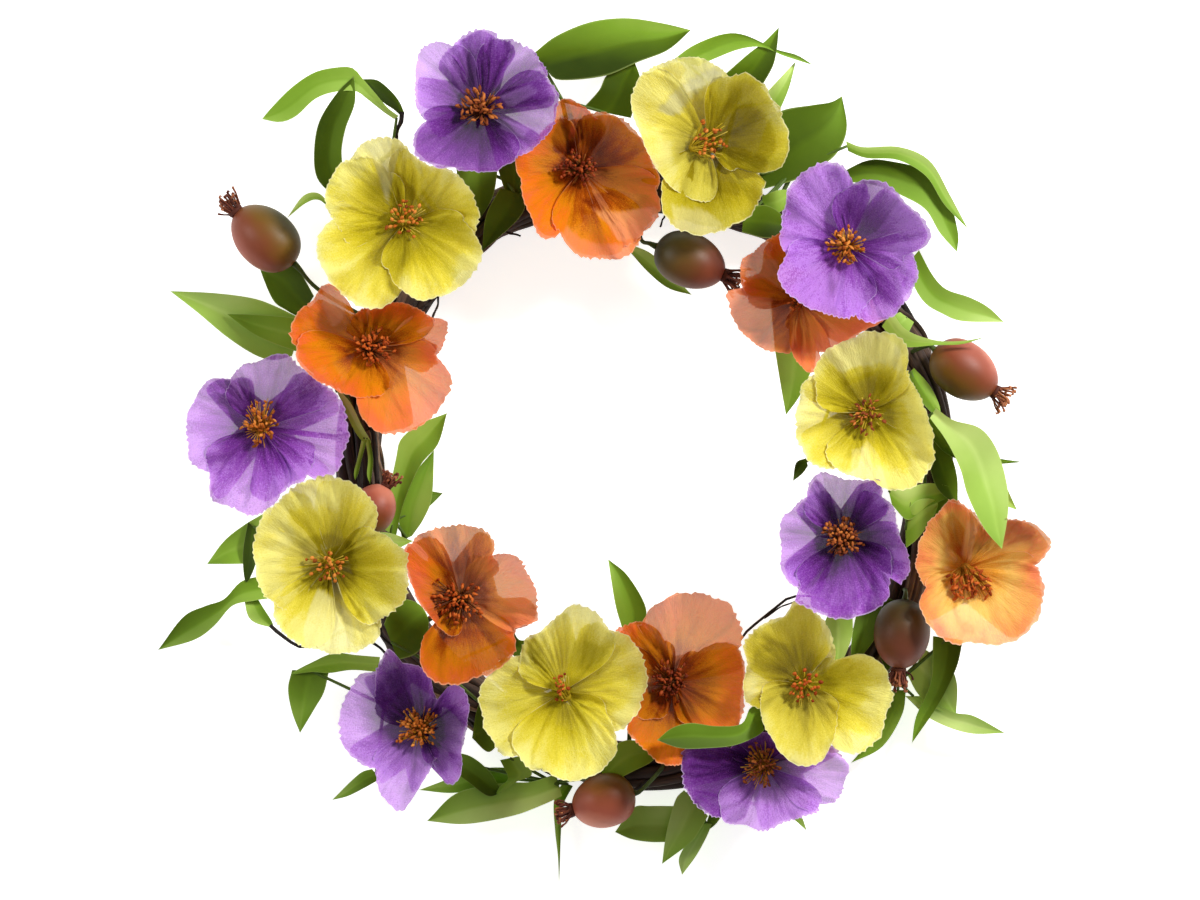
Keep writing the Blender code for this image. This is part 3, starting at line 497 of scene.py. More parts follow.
def cloth(name, stops, deep, edge, see_through, glow, grain, mesh):
    """Fine open cloth, its dyeing darker at the heart: the look's red is how far along
    the petal a point is, green how much painted shade it carries, blue how near a frayed edge."""
    net = Net(name)
    along, shade, fray, place = values(net)
    uv = net.add("UVMap", {"uv_map": "weave"}).outputs[0]
    stretch = net.add("Mapping", Vector=uv, Scale=(2600.0, 330.0, 1.0))
    streak = net.noise(stretch.outputs[0], 1.0, 3.0, 0.6)
    cross = net.add("Mapping", Vector=uv, Scale=(1000.0, 1400.0, 1.0))
    weave = net.noise(cross.outputs[0], 1.0, 2.0, 0.7)
    gather = net.add("Mapping", Vector=uv, Scale=(270.0, 34.0, 1.0))
    pleat = net.noise(gather.outputs[0], 1.0, 3.0, 0.55)
    cloud = net.noise(place, 48.0, 2.0, 0.5)
    tone = net.math("ADD", along, net.math("MULTIPLY", net.math("SUBTRACT", cloud, 0.5), 0.50))
    tone = net.math("ADD", tone, net.math("MULTIPLY", net.math("SUBTRACT", streak, 0.5), 0.55 * grain))
    tone = net.math("ADD", tone, net.math("MULTIPLY", net.math("SUBTRACT", pleat, 0.5), 0.55 * grain))
    tone = net.math("ADD", tone, net.math("MULTIPLY", net.math("SUBTRACT", weave, 0.5), 0.22 + 0.40 * grain))
    colour = net.ramp(tone, stops)
    fine = net.math("ADD", net.math("MULTIPLY", weave, 0.5), net.math("MULTIPLY", streak, 0.5))
    colour = net.mix(net.math("MULTIPLY", net.math("SUBTRACT", fine, 0.52), mesh, clamp=True), colour, edge)
    # painted shade in the valleys of the pleat pattern, joined by the dark of the fibres and mixed towards the deep
    # colour with the look's painted shade; the same pattern lightens the tone on its ridges above and drives the bump
    fold = net.math("MULTIPLY", net.math("SUBTRACT", 0.46, pleat), 1.6 * grain, clamp=True)
    fibre = net.math("MULTIPLY", net.math("SUBTRACT", 0.42, net.math("MINIMUM", streak, weave)), 1.5 * grain, clamp=True)
    dark = net.math("MAXIMUM", fold, fibre)
    left = net.math("MULTIPLY", net.math("SUBTRACT", 1.0, shade), net.math("SUBTRACT", 1.0, net.math("MULTIPLY", dark, 0.75)))
    colour = net.mix(net.math("SUBTRACT", 1.0, left, clamp=True), colour, deep)
    colour = net.mix(fray, colour, edge)
    height = net.math("ADD", net.math("MULTIPLY", streak, 0.25), net.math("MULTIPLY", pleat, 0.75))
    bump = net.add("Bump", Strength=0.8, Distance=0.0028, Height=height)
    face = net.add("BsdfPrincipled", i0=colour)
    face.inputs["Roughness"].default_value = 0.85
    face.inputs["Specular IOR Level"].default_value = 0.08
    face.inputs["Sheen Weight"].default_value = 0.015
    face.inputs["Sheen Roughness"].default_value = 0.5
    net.set(face, "Normal", bump)
    lit = net.add("BsdfTranslucent", i0=colour)
    net.set(lit, "Normal", bump)
    body = net.add("MixShader", i1=face, i2=lit)
    body.inputs[0].default_value = glow
    gap = net.add("BsdfTransparent")
    open_share = net.math("MULTIPLY", net.math("SUBTRACT", 0.80, fine), see_through * 3.3, clamp=True)
    open_share = net.math("MULTIPLY", open_share, net.math("SUBTRACT", 1.0, net.math("MULTIPLY", fray, 0.6)))
    net.surface(net.add("MixShader", i0=open_share, i1=body, i2=gap))
    return net.mat


CLOTH = {
    "purple": cloth("cloth_purple", [
        (0.0, srgb(64, 14, 80)), (0.30, srgb(102, 30, 130)), (0.58, srgb(148, 62, 184)),
        (0.84, srgb(178, 100, 214)), (1.0, srgb(208, 144, 240))],
        srgb(48, 8, 62), srgb(226, 200, 240), 0.16, 0.26, 0.90, 1.6),
    "yellow": cloth("cloth_yellow", [
        (0.0, srgb(134, 114, 2)), (0.26, srgb(188, 168, 8)), (0.55, srgb(230, 212, 40)),
        (0.82, srgb(248, 234, 82)), (1.0, srgb(254, 246, 140))],
        srgb(114, 98, 2), srgb(252, 248, 196), 0.10, 0.26, 0.44, 0.9),
    "orange": cloth("cloth_orange", [
        (0.0, srgb(136, 46, 0)), (0.24, srgb(204, 98, 0)), (0.50, srgb(244, 154, 4)),
        (0.76, srgb(250, 136, 24)), (1.0, srgb(250, 120, 58))],
        srgb(116, 40, 0), srgb(244, 180, 140), 0.11, 0.26, 0.75, 0.6),
    "peach": cloth("cloth_peach", [
        (0.0, srgb(230, 116, 16)), (0.26, srgb(255, 188, 64)), (0.55, srgb(255, 216, 112)),
        (0.80, srgb(255, 186, 100)), (1.0, srgb(250, 140, 88))],
        srgb(170, 86, 20), srgb(255, 216, 180), 0.10, 0.26, 0.42, 1.4),
}


def plain(name, stops, rough, bump=0.3, grain=900.0, spec=0.3, glow=0.0, cloud_scale=60.0, cloud_share=0.25, distance=0.0003):
    """A moulded or dyed solid: the look's red runs through the colours, green
    darkens, blue lightens a cut edge."""
    net = Net(name)
    tone, shade, edge, place = values(net)
    cloud = net.noise(place, cloud_scale, 3.0, 0.5)
    tone = net.math("ADD", tone, net.math("MULTIPLY", net.math("SUBTRACT", cloud, 0.5), cloud_share))
    colour = net.ramp(tone, stops)
    colour = net.mix(shade, colour, tuple(c * 0.18 for c in stops[0][1][:3]) + (1.0,))
    colour = net.mix(edge, colour, stops[-1][1])
    fine = net.noise(place, grain, 3.0, 0.6)
    b = net.add("Bump", Strength=bump, Distance=distance, Height=fine)
    face = net.add("BsdfPrincipled", i0=colour)
    r = net.math("ADD", net.math("MULTIPLY", net.math("SUBTRACT", fine, 0.5), 0.22), rough, clamp=True)
    net.set(face, "Roughness", r)
    face.inputs["Specular IOR Level"].default_value = spec
    net.set(face, "Normal", b)
    if glow:
        lit = net.add("BsdfTranslucent", i0=colour)
        both = net.add("MixShader", i1=face, i2=lit)
        both.inputs[0].default_value = glow
        net.surface(both)
    else:
        net.surface(face)
    return net.mat


LEAF = plain("leaf_foam", [
    (0.0, srgb(50, 70, 4)), (0.28, srgb(86, 114, 12)), (0.55, srgb(124, 162, 44)),
    (0.80, srgb(164, 198, 86)), (1.0, srgb(206, 230, 136))], 0.60, 0.18, 1400.0, 0.18, 0.10, 34.0, 0.16)
LEAF_STALK = plain("leaf_stalk", [
    (0.0, srgb(40, 50, 12)), (0.5, srgb(84, 110, 36)), (1.0, srgb(140, 160, 80))], 0.6, 0.4, 700.0, 0.3)
CALYX = plain("calyx_green", [
    (0.0, srgb(50, 66, 14)), (1.0, srgb(110, 140, 50))], 0.6, 0.4, 700.0, 0.3)
HIP = plain("rose_hip_skin", [
    (0.0, srgb(72, 66, 6)), (0.30, srgb(108, 74, 14)), (0.55, srgb(124, 60, 30)),
    (0.80, srgb(156, 78, 58)), (1.0, srgb(206, 126, 100))], 0.50, 0.10, 1100.0, 0.34, 0.0, 48.0, 0.30)
HIP_DRY = plain("rose_hip_calyx", [
    (0.0, srgb(48, 20, 14)), (0.5, srgb(106, 52, 36)), (1.0, srgb(190, 122, 82))], 0.7, 0.5, 900.0, 0.2)
ANTHER = {
    "orange": plain("anther_orange", [
        (0.0, srgb(104, 48, 8)), (0.5, srgb(184, 94, 18)), (1.0, srgb(230, 150, 66))], 0.62, 0.5, 1500.0, 0.2),
    "brown": plain("anther_brown", [
        (0.0, srgb(74, 30, 16)), (0.5, srgb(142, 68, 24)), (1.0, srgb(206, 122, 54))], 0.62, 0.5, 1500.0, 0.2),
    "red": plain("anther_red", [
        (0.0, srgb(104, 34, 4)), (0.5, srgb(170, 72, 14)), (1.0, srgb(218, 118, 46))], 0.62, 0.5, 1500.0, 0.2),
    "dusky": plain("anther_dusky", [
        (0.0, srgb(74, 20, 4)), (0.5, srgb(128, 46, 12)), (1.0, srgb(170, 78, 30))], 0.62, 0.5, 1500.0, 0.2),
}
THREAD = {
    "dark": plain("thread_dark", [
        (0.0, srgb(56, 24, 24)), (0.5, srgb(112, 60, 20)), (1.0, srgb(188, 116, 44))], 0.6, 0.3, 1500.0, 0.2),
    "gold": plain("thread_gold", [
        (0.0, srgb(120, 70, 10)), (0.5, srgb(186, 124, 26)), (1.0, srgb(226, 176, 76))], 0.6, 0.3, 1500.0, 0.2),
    "pale": plain("thread_pale", [
        (0.0, srgb(130, 106, 4)), (0.5, srgb(180, 152, 24)), (1.0, srgb(226, 200, 84))], 0.6, 0.3, 1500.0, 0.2),
}


def bark():
    net = Net("vine_bark")
    tone, shade, edge, place = values(net)
    uv = net.add("UVMap", {"uv_map": "weave"}).outputs[0]
    long_way = net.add("Mapping", Vector=uv, Scale=(420.0, 26.0, 1.0))
    strip = net.noise(long_way.outputs[0], 1.0, 4.0, 0.65)
    fine = net.add("Mapping", Vector=uv, Scale=(1500.0, 120.0, 1.0))
    crack = net.noise(fine.outputs[0], 1.0, 3.0, 0.6)
    cloud = net.noise(place, 30.0, 3.0, 0.5)
    mix = net.math("ADD", net.math("MULTIPLY", strip, 0.75), net.math("MULTIPLY", cloud, 0.35))
    mix = net.math("ADD", mix, net.math("SUBTRACT", tone, 0.5))
    colour = net.ramp(mix, [
        (0.30, srgb(30, 22, 18)), (0.48, srgb(58, 42, 34)), (0.62, srgb(88, 66, 52)),
        (0.74, srgb(128, 102, 80)), (0.86, srgb(176, 152, 122))])
    height = net.math("ADD", net.math("MULTIPLY", strip, 0.6), net.math("MULTIPLY", crack, 0.4))
    b = net.add("Bump", Strength=0.8, Distance=0.0010, Height=height)
    face = net.add("BsdfPrincipled", i0=colour)
    net.set(face, "Roughness", net.math("ADD", net.math("MULTIPLY", strip, 0.3), 0.55, clamp=True))
    face.inputs["Specular IOR Level"].default_value = 0.3
    net.set(face, "Normal", b)
    net.surface(face)
    return net.mat


BARK = bark()


# ---- meshes --------------------------------------------------------------------------
class Shape:
    """Points, faces and the values each point carries, for one piece."""

    def __init__(self):
        self.points, self.looks, self.uvs, self.faces, self.slots = [], [], [], [], []
        self.count = 0

    def add(self, points, faces, looks, uvs=None, slot=0):
        points = np.asarray(points, float).reshape(-1, 3)
        n = len(points)
        looks = np.broadcast_to(np.asarray(looks, float), (n, 3)) if np.ndim(looks) == 1 else np.asarray(looks, float)
        uvs = np.zeros((n, 2)) if uvs is None else np.asarray(uvs, float)
        self.points.append(points)
        self.looks.append(looks)
        self.uvs.append(uvs)
        for f in faces:
            self.faces.append(tuple(int(i) + self.count for i in f))
            self.slots.append(slot)
        self.count += n

    def sheet(self, grid, looks, uvs, slot=0, flip=False):
        """A grid of points, (rows, columns, 3)."""
        rows, cols = grid.shape[:2]
        idx = np.arange(rows * cols).reshape(rows, cols)
        a, b, c, d = idx[:-1, :-1].ravel(), idx[:-1, 1:].ravel(), idx[1:, 1:].ravel(), idx[1:, :-1].ravel()
        quads = np.stack([a, d, c, b] if flip else [a, b, c, d], axis=1)
        self.add(grid.reshape(-1, 3), quads, looks.reshape(-1, 3), uvs.reshape(-1, 2), slot)

    def tube(self, line, radii, sides, looks, slot=0, round_end=False):
        """A tube along a line, closed at both ends."""
        line = np.asarray(line, float)
        n = len(line)
        radii = np.broadcast_to(np.asarray(radii, float), (n,)).copy()
        step = np.gradient(line, axis=0)
        step /= np.maximum(np.linalg.norm(step, axis=1), 1e-12)[:, None]
        side = np.cross(step[0], (0.0, 0.0, 1.0))
        if np.linalg.norm(side) < 0.1:
            side = np.cross(step[0], (1.0, 0.0, 0.0))
        side /= np.linalg.norm(side)
        rings, uv, far = [], [], 0.0
        ang = 2 * math.pi * np.arange(sides) / sides
        for i in range(n):
            side = side - step[i] * side.dot(step[i])
            side /= max(np.linalg.norm(side), 1e-12)
            up = np.cross(step[i], side)
            if i:
                far += np.linalg.norm(line[i] - line[i - 1])
            rings.append(line[i] + radii[i] * (np.cos(ang)[:, None] * side + np.sin(ang)[:, None] * up))
            uv.append(np.stack([ang * radii[i], np.full(sides, far)], axis=1))
        faces = []
        for i in range(n - 1):
            for k in range(sides):
                a, b = i * sides + k, i * sides + (k + 1) % sides
                faces.append((a, a + sides, b + sides, b))
        faces.append(tuple(range(sides)))
        faces.append(tuple((n - 1) * sides + k for k in reversed(range(sides))))
        looks = np.asarray(looks, float)
        if looks.ndim == 2:
            looks = np.repeat(looks, sides, axis=0)
        self.add(np.concatenate(rings), faces, looks, np.concatenate(uv), slot)

    def build(self, name, mats, smooth=True):
        me = bpy.data.meshes.new(name)
        pts = np.concatenate(self.points)
        me.from_pydata(pts.tolist(), [], self.faces)
        looks = np.concatenate(self.looks)
        att = me.attributes.new("look", "FLOAT_COLOR", "POINT")
        att.data.foreach_set("color", np.concatenate([np.clip(looks, 0, 1), np.ones((len(looks), 1))], axis=1).astype(np.float32).ravel())
        uvs = np.concatenate(self.uvs)
        layer = me.uv_layers.new(name="weave")
        loops = np.zeros(len(me.loops), np.int32)
        me.loops.foreach_get("vertex_index", loops)
        layer.data.foreach_set("uv", uvs[loops].astype(np.float32).ravel())
        me.polygons.foreach_set("material_index", self.slots)
        for m in mats:
            me.materials.append(m)
        me.polygons.foreach_set("use_smooth", [smooth] * len(me.polygons))
        me.update()
        ob = bpy.data.objects.new(name, me)
        scene.collection.objects.link(ob)
        return ob


def plan_points(px, py, z):
    """Arrays of plan positions and heights to points."""
    k = UNIT * (1.0 - z / VIEW)
    return np.stack([(px - MID_X) * k, (MID_Y - py) * k, z], axis=-1)


def ripple(seed, x, y=0.0, terms=5, low=0.6, high=1.7):
    """A smooth wandering value, about -1 to 1, the same each time."""
    r = np.random.default_rng(seed)
    out = 0.0
    for _ in range(terms):
        f, g, ph = r.uniform(low, high), r.uniform(-1.0, 1.0) * high * 0.7, r.uniform(0, 2 * math.pi)
        out = out + np.sin(f * x + g * y + ph)
    return out / math.sqrt(terms) / 1.3


def spline(points, n):
    """n points evenly along a smooth line through the given ones."""
    p = np.asarray(points, float)
    if len(p) == 2:
        t = np.linspace(0, 1, n)[:, None]
        return p[0] * (1 - t) + p[1] * t
    ext = np.concatenate([[2 * p[0] - p[1]], p, [2 * p[-1] - p[-2]]])
    fine = []
    for i in range(len(p) - 1):
        a, b, c, d = ext[i], ext[i + 1], ext[i + 2], ext[i + 3]
        for t in np.linspace(0, 1, 13)[:-1]:
            fine.append(0.5 * (2 * b + (c - a) * t + (2 * a - 5 * b + 4 * c - d) * t * t + (3 * b - a - 3 * c + d) * t ** 3))
    fine.append(p[-1])
    fine = np.array(fine)
    far = np.concatenate([[0], np.cumsum(np.linalg.norm(np.diff(fine, axis=0), axis=1))])
    at = np.linspace(0, far[-1], n)
    return np.stack([np.interp(at, far, fine[:, k]) for k in range(p.shape[1])], axis=1)


def finish_piece(ob, nodes=()):
    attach(ob, "root")
    if nodes:
        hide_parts(*nodes)
    return ob


TWO_PI = 2 * math.pi
NUMBERS = {}
_seen = {"purple": 0, "yellow": 0, "orange": 0}
for _n in FLOWERS:
    _seen[FLOWERS[_n][0]] += 1
    NUMBERS[_n] = f"poppy_{FLOWERS[_n][0]}_{_seen[FLOWERS[_n][0]]}"

TABLES, HEARTS = settle()


# ---- flowers: the surface that all petals of one flower follow ---------------------------
def round_table(table, a):
    """Smooth value at the angles a of a table that runs round the heart."""
    t = np.asarray(table, float)
    n = len(t)
    f = (np.asarray(a) % TWO_PI) / TWO_PI * n
    i = np.floor(f).astype(int) % n
    u = f - np.floor(f)
    p0, p1, p2, p3 = t[(i - 1) % n], t[i], t[(i + 1) % n], t[(i + 2) % n]
    return 0.5 * (2 * p1 + (p2 - p0) * u + (2 * p0 - 5 * p1 + 4 * p2 - p3) * u * u + (3 * p1 - p0 - 3 * p2 + p3) * u ** 3)


class Flower:
    def __init__(self, name, number):
        self.name, self.seed = name, 100 * number
        self.colour, self.heart, _ = FLOWERS[name]
        self.petals = flower_petals(name)
        self.z = HEARTS[name]
        r = [t[0] for t in TABLES[name]]
        self.reach = [(r[i - 1] + 2 * r[i] + r[(i + 1) % len(r)]) / 4 for i in range(len(r))]
        self.lift = [t[1] for t in TABLES[name]]
        edge = np.array([corolla_at(self.petals, TWO_PI * i / 360)[0] for i in range(360)])
        known = np.nonzero(edge > 1)[0]
        self.edge = np.interp(np.arange(360), known, edge[known], period=360)

    def outline(self, a):
        f = (np.asarray(a) % TWO_PI) / TWO_PI * 360
        i = np.floor(f).astype(int) % 360
        u = f - np.floor(f)
        return self.edge[i] * (1 - u) + self.edge[(i + 1) % 360] * u

    def spread(self, px, py):
        dx, dy = px - self.heart[0], self.heart[1] - py
        return np.arctan2(dy, dx), np.hypot(dx, dy)

    def share(self, a, r):
        return np.clip((r - HEART_R) / (round_table(self.reach, a) - HEART_R), 0.0, 1.25)

    def smooth_height(self, a, r):
        s = self.share(a, r)
        return self.z + round_table(self.lift, a) * s ** 1.35 - 0.0022 * (1 - np.clip(r / HEART_R, 0, 1)) ** 2

    def covered(self, px, py):
        """How far each point lies under a flower higher in the pile, 0 to 1."""
        out = np.zeros(np.shape(px))
        for other in PILE[PILE.index(self.name) + 1:]:
            f = BLOOMS[other]
            if math.hypot(f.heart[0] - self.heart[0], f.heart[1] - self.heart[1]) < 190:
                a, r = f.spread(px, py)
                out = np.maximum(out, np.clip((f.outline(a) + 12 - r) / 12, 0, 1))
        return out

    def height(self, a, r, cover):
        """The smooth cup with the ruffles and folds that its layers share."""
        s = self.share(a, r)
        ca, sa = np.cos(a), np.sin(a)
        big = ripple(self.seed + 1, 3.4 * ca, 3.4 * sa + 0.5 * s)
        mid = ripple(self.seed + 2, 9.0 * ca + 0.6 * s, 9.0 * sa)
        near = np.clip((r - 6.0) / 20.0, 0, 1)
        w = (0.0022 * s ** 1.6 * (0.55 + 0.75 * big)
             + 0.0015 * near * (0.35 + 0.65 * s) * mid
             + 0.0012 * near * (0.45 + 0.55 * s) * (np.abs(ripple(self.seed + 5, 15.0 * ca + 2.2 * s, 15.0 * sa - 1.7 * s)) - 0.5))
        return self.smooth_height(a, r) + w * (1.0 - 0.85 * cover)


BLOOMS = {}
for _i, _n in enumerate(FLOWERS):
    BLOOMS[_n] = Flower(_n, _i + 1)

# Wedges between the petals of the lower layer, where the cloth lies single:
# the two angles of the wedge at the rim, then how far out its tip lies (part of
# the reach) and the tip's own angle where it isn't midway.  Degrees.
GAPS = {
    "p1": [(28, 64, 0.34), (120, 150, 0.48), (178, 192, 0.55), (-22, 2, 0.32)],
    "y1": [(100, 140, 0.40, 118), (-50, -40, 0.6)],
    "o1": [(-60, -28, 0.45, -40), (76, 116, 0.74), (200, 208, 0.6)],
    "y2": [(80, 106, 0.62, 134), (-110, -62, 0.86), (-20, -8, 0.7)],
    "p2": [(200, 214, 0.55), (60, 70, 0.6), (-70, -58, 0.6)],
    "o2": [(174, 240, 0.42, 188), (128, 160, 0.7), (-75, -50, 0.6)],
    "y3": [(168, 196, 0.42), (-112, -66, 0.42, -92), (60, 68, 0.7)],
    "p3": [(53, 118, 0.34, 78), (148, 212, 0.30), (243, 280, 0.30), (-30, 10, 0.36)],
    "o3": [(112, 134, 0.58), (-58, -14, 0.42, -24), (4, 28, 0.62)],
    "p4": [(76, 112, 0.48), (152, 200, 0.42), (232, 242, 0.42), (20, 30, 0.7)],
    "o4": [(-120, -60, 0.45), (100, 112, 0.6)],
    "y4": [(-114, -76, 0.32), (100, 112, 0.65), (20, 28, 0.7)],
    "o5": [(78, 122, 0.50), (-14, 54, 0.50, 5)],
    "p5": [(140, 192, 0.38), (30, 38, 0.75), (236, 262, 0.5)],
    "y5": [(66, 84, 0.6), (172, 186, 0.7), (-60, -50, 0.7)],
    "o6": [(30, 116, 0.30, 88), (-100, -80, 0.6)],
    "p6": [(-32, 6, 0.48), (234, 264, 0.48)],
    "y6": [(166, 196, 0.5), (56, 60, 0.8), (-50, -40, 0.7)],
}

# Petals with painted shade, where they are turned from the light or lie in the shadow of petals above, by their place
# in the flower: 0 light to 1 dark.
PETAL_SHADE = {
    "p1": {1: 0.08, 2: 0.10, 3: 0.24}, "p2": {1: 0.14}, "p4": {2: 0.10, 3: 0.12}, "p5": {0: 0.30, 3: 0.26},
    "p6": {0: 0.42}, "y2": {2: 0.22, 3: 0.30}, "y3": {1: 0.05}, "y6": {0: 0.08}, "y5": {3: 0.05},
    "o1": {1: 0.22, 3: 0.05}, "o3": {0: 0.14}, "o5": {2: 0.22}, "o6": {2: 0.10, 3: 0.16, 4: 0.16}, "o4": {2: 0.08},
}

# Petals coloured lighter (above 0) or stronger (below) than their flower's usual: partly the cloth's own colour, partly
# painted light and shade for how each petal is turned to the light.
TINT_AND_LIGHT = {
    "p1": {0: 0.02, 1: -0.10, 2: -0.08, 3: -0.14, 4: 0.10}, "p2": {0: 0.40, 1: 0.22, 2: 0.42, 3: 0.22},
    "p3": {0: 0.14, 1: 0.14, 2: 0.20, 3: 0.16, 4: 0.16}, "p4": {0: 0.04, 1: 0.08, 2: 0.0, 3: -0.04},
    "p5": {0: 0.02, 1: 0.18, 2: 0.24, 3: 0.06}, "p6": {0: -0.12, 1: 0.28, 2: 0.30, 3: 0.10},
    "y1": {0: 0.05, 1: 0.06, 2: 0.0, 3: 0.06, 4: 0.06}, "y2": {0: 0.18, 1: 0.26, 2: -0.10, 3: -0.16},
    "y3": {0: 0.04, 1: 0.05, 2: 0.10, 3: 0.14}, "y4": {0: 0.14, 1: 0.24, 2: 0.18, 3: 0.20, 4: 0.06},
    "y5": {0: 0.16, 1: 0.12, 2: 0.14, 3: 0.20}, "y6": {0: -0.06, 1: 0.12, 2: 0.06},
    "o1": {1: -0.20, 2: -0.06, 4: -0.06}, "o3": {1: 0.04}, "o5": {3: 0.10}, "o6": {2: -0.06, 3: -0.1, 4: -0.1},
}

# Petals of thinner cloth, washed out towards the pale of their edges.
PALE = {
    "o1": {3: 0.16}, "o2": {1: 0.28, 2: 0.1}, "o3": {2: 0.12, 3: 0.25}, "o5": {0: 0.34, 1: 0.28}, "o6": {0: 0.36},
    "y1": {0: 0.22}, "y2": {0: 0.14, 1: 0.06}, "y4": {1: 0.10, 3: 0.16}, "p1": {4: 0.10}, "p5": {1: 0.10, 2: 0.18},
    "p6": {1: 0.10, 2: 0.12}, "y6": {2: 0.06}, "p2": {0: 0.05},
}

# Soft lighter places, where a rim turns up into the light.
LIGHTS = {
    "y3": [((848, 346), 22, 0.5), ((886, 346), 22, 0.5), ((916, 410), 14, 0.3)],
    "y2": [((655, 160), 20, 0.25), ((650, 100), 16, 0.2), ((778, 120), 12, 0.3)], "y6": [((752, 685), 12, 0.4), ((822, 640), 10, 0.3)],
    "p4": [((812, 505), 9, 0.4), ((880, 492), 9, 0.5), ((902, 550), 10, 0.5)], "p5": [((402, 658), 10, 0.3), ((462, 700), 9, 0.3)],
    "o4": [((935, 560), 14, 0.2)], "o5": [((420, 575), 14, 0.3), ((455, 540), 20, 0.2)], "o3": [((325, 370), 22, 0.2), ((420, 410), 20, 0.2)],
    "o1": [((568, 134), 8, 0.4), ((545, 185), 18, 0.15)], "p1": [((432, 60), 16, 0.2), ((520, 60), 14, 0.2)], "y4": [((275, 540), 22, 0.15), ((330, 495), 22, 0.1)],
    "p6": [((765, 800), 22, 0.2), ((830, 775), 14, 0.2)], "p2": [((805, 195), 20, 0.15), ((820, 290), 20, 0.15)],
}

# Painted shade on a flower, round its heart and where petals lie in shadow: plan position, radius, strength.
PAINTED_SHADE_SPOTS = {
    "p1": [((478, 112), 34, 0.50), ((500, 128), 20, 0.30), ((470, 70), 22, 0.22), ((522, 96), 12, 0.25)],
    "y1": [((404, 225), 30, 0.42), ((384, 262), 20, 0.20), ((372, 190), 22, 0.25), ((440, 215), 16, 0.15)],
    "o1": [((580, 165), 34, 0.56), ((612, 135), 26, 0.26), ((562, 132), 20, 0.24), ((630, 178), 20, 0.14)],
    "y2": [((745, 125), 32, 0.52), ((712, 205), 34, 0.30), ((682, 140), 18, 0.36), ((735, 92), 14, 0.2), ((702, 150), 20, 0.3)],
    "p2": [((850, 250), 24, 0.34), ((886, 228), 22, 0.36), ((872, 284), 18, 0.28), ((846, 205), 10, 0.25)],
    "o2": [((800, 300), 24, 0.26), ((770, 270), 14, 0.20), ((830, 270), 20, 0.2)],
    "y3": [((866, 404), 32, 0.38), ((838, 432), 18, 0.25), ((900, 446), 14, 0.18)],
    "p3": [((262, 425), 24, 0.36), ((296, 386), 20, 0.30), ((238, 396), 20, 0.40), ((230, 452), 20, 0.25), ((332, 430), 12, 0.2), ((286, 362), 14, 0.3)],
    "o3": [((370, 348), 26, 0.45), ((336, 322), 20, 0.34), ((400, 325), 22, 0.30), ((398, 380), 14, 0.25)],
    "p4": [((844, 540), 30, 0.50), ((812, 540), 18, 0.30), ((868, 545), 24, 0.38), ((836, 512), 12, 0.3)],
    "o4": [((970, 575), 18, 0.20), ((1014, 532), 22, 0.34), ((946, 535), 12, 0.12)],
    "y4": [((338, 566), 34, 0.52), ((380, 590), 20, 0.28), ((300, 545), 16, 0.22), ((350, 530), 14, 0.2)],
    "o5": [((455, 600), 26, 0.40), ((470, 660), 30, 0.22), ((480, 560), 14, 0.12)],
    "p5": [((415, 725), 30, 0.55), ((398, 680), 24, 0.45), ((450, 725), 20, 0.45), ((404, 790), 8, 0.3)],
    "y5": [((560, 690), 22, 0.24), ((535, 660), 18, 0.22), ((592, 655), 18, 0.20), ((508, 708), 20, 0.28), ((575, 735), 18, 0.12)],
    "o6": [((672, 690), 38, 0.70), ((648, 655), 26, 0.35), ((700, 700), 20, 0.25)],
    "p6": [((760, 758), 26, 0.50), ((722, 770), 26, 0.40), ((790, 790), 16, 0.2)],
    "y6": [((800, 690), 26, 0.38), ((768, 664), 24, 0.22), ((852, 700), 16, 0.16), ((806, 735), 18, 0.22)],
}
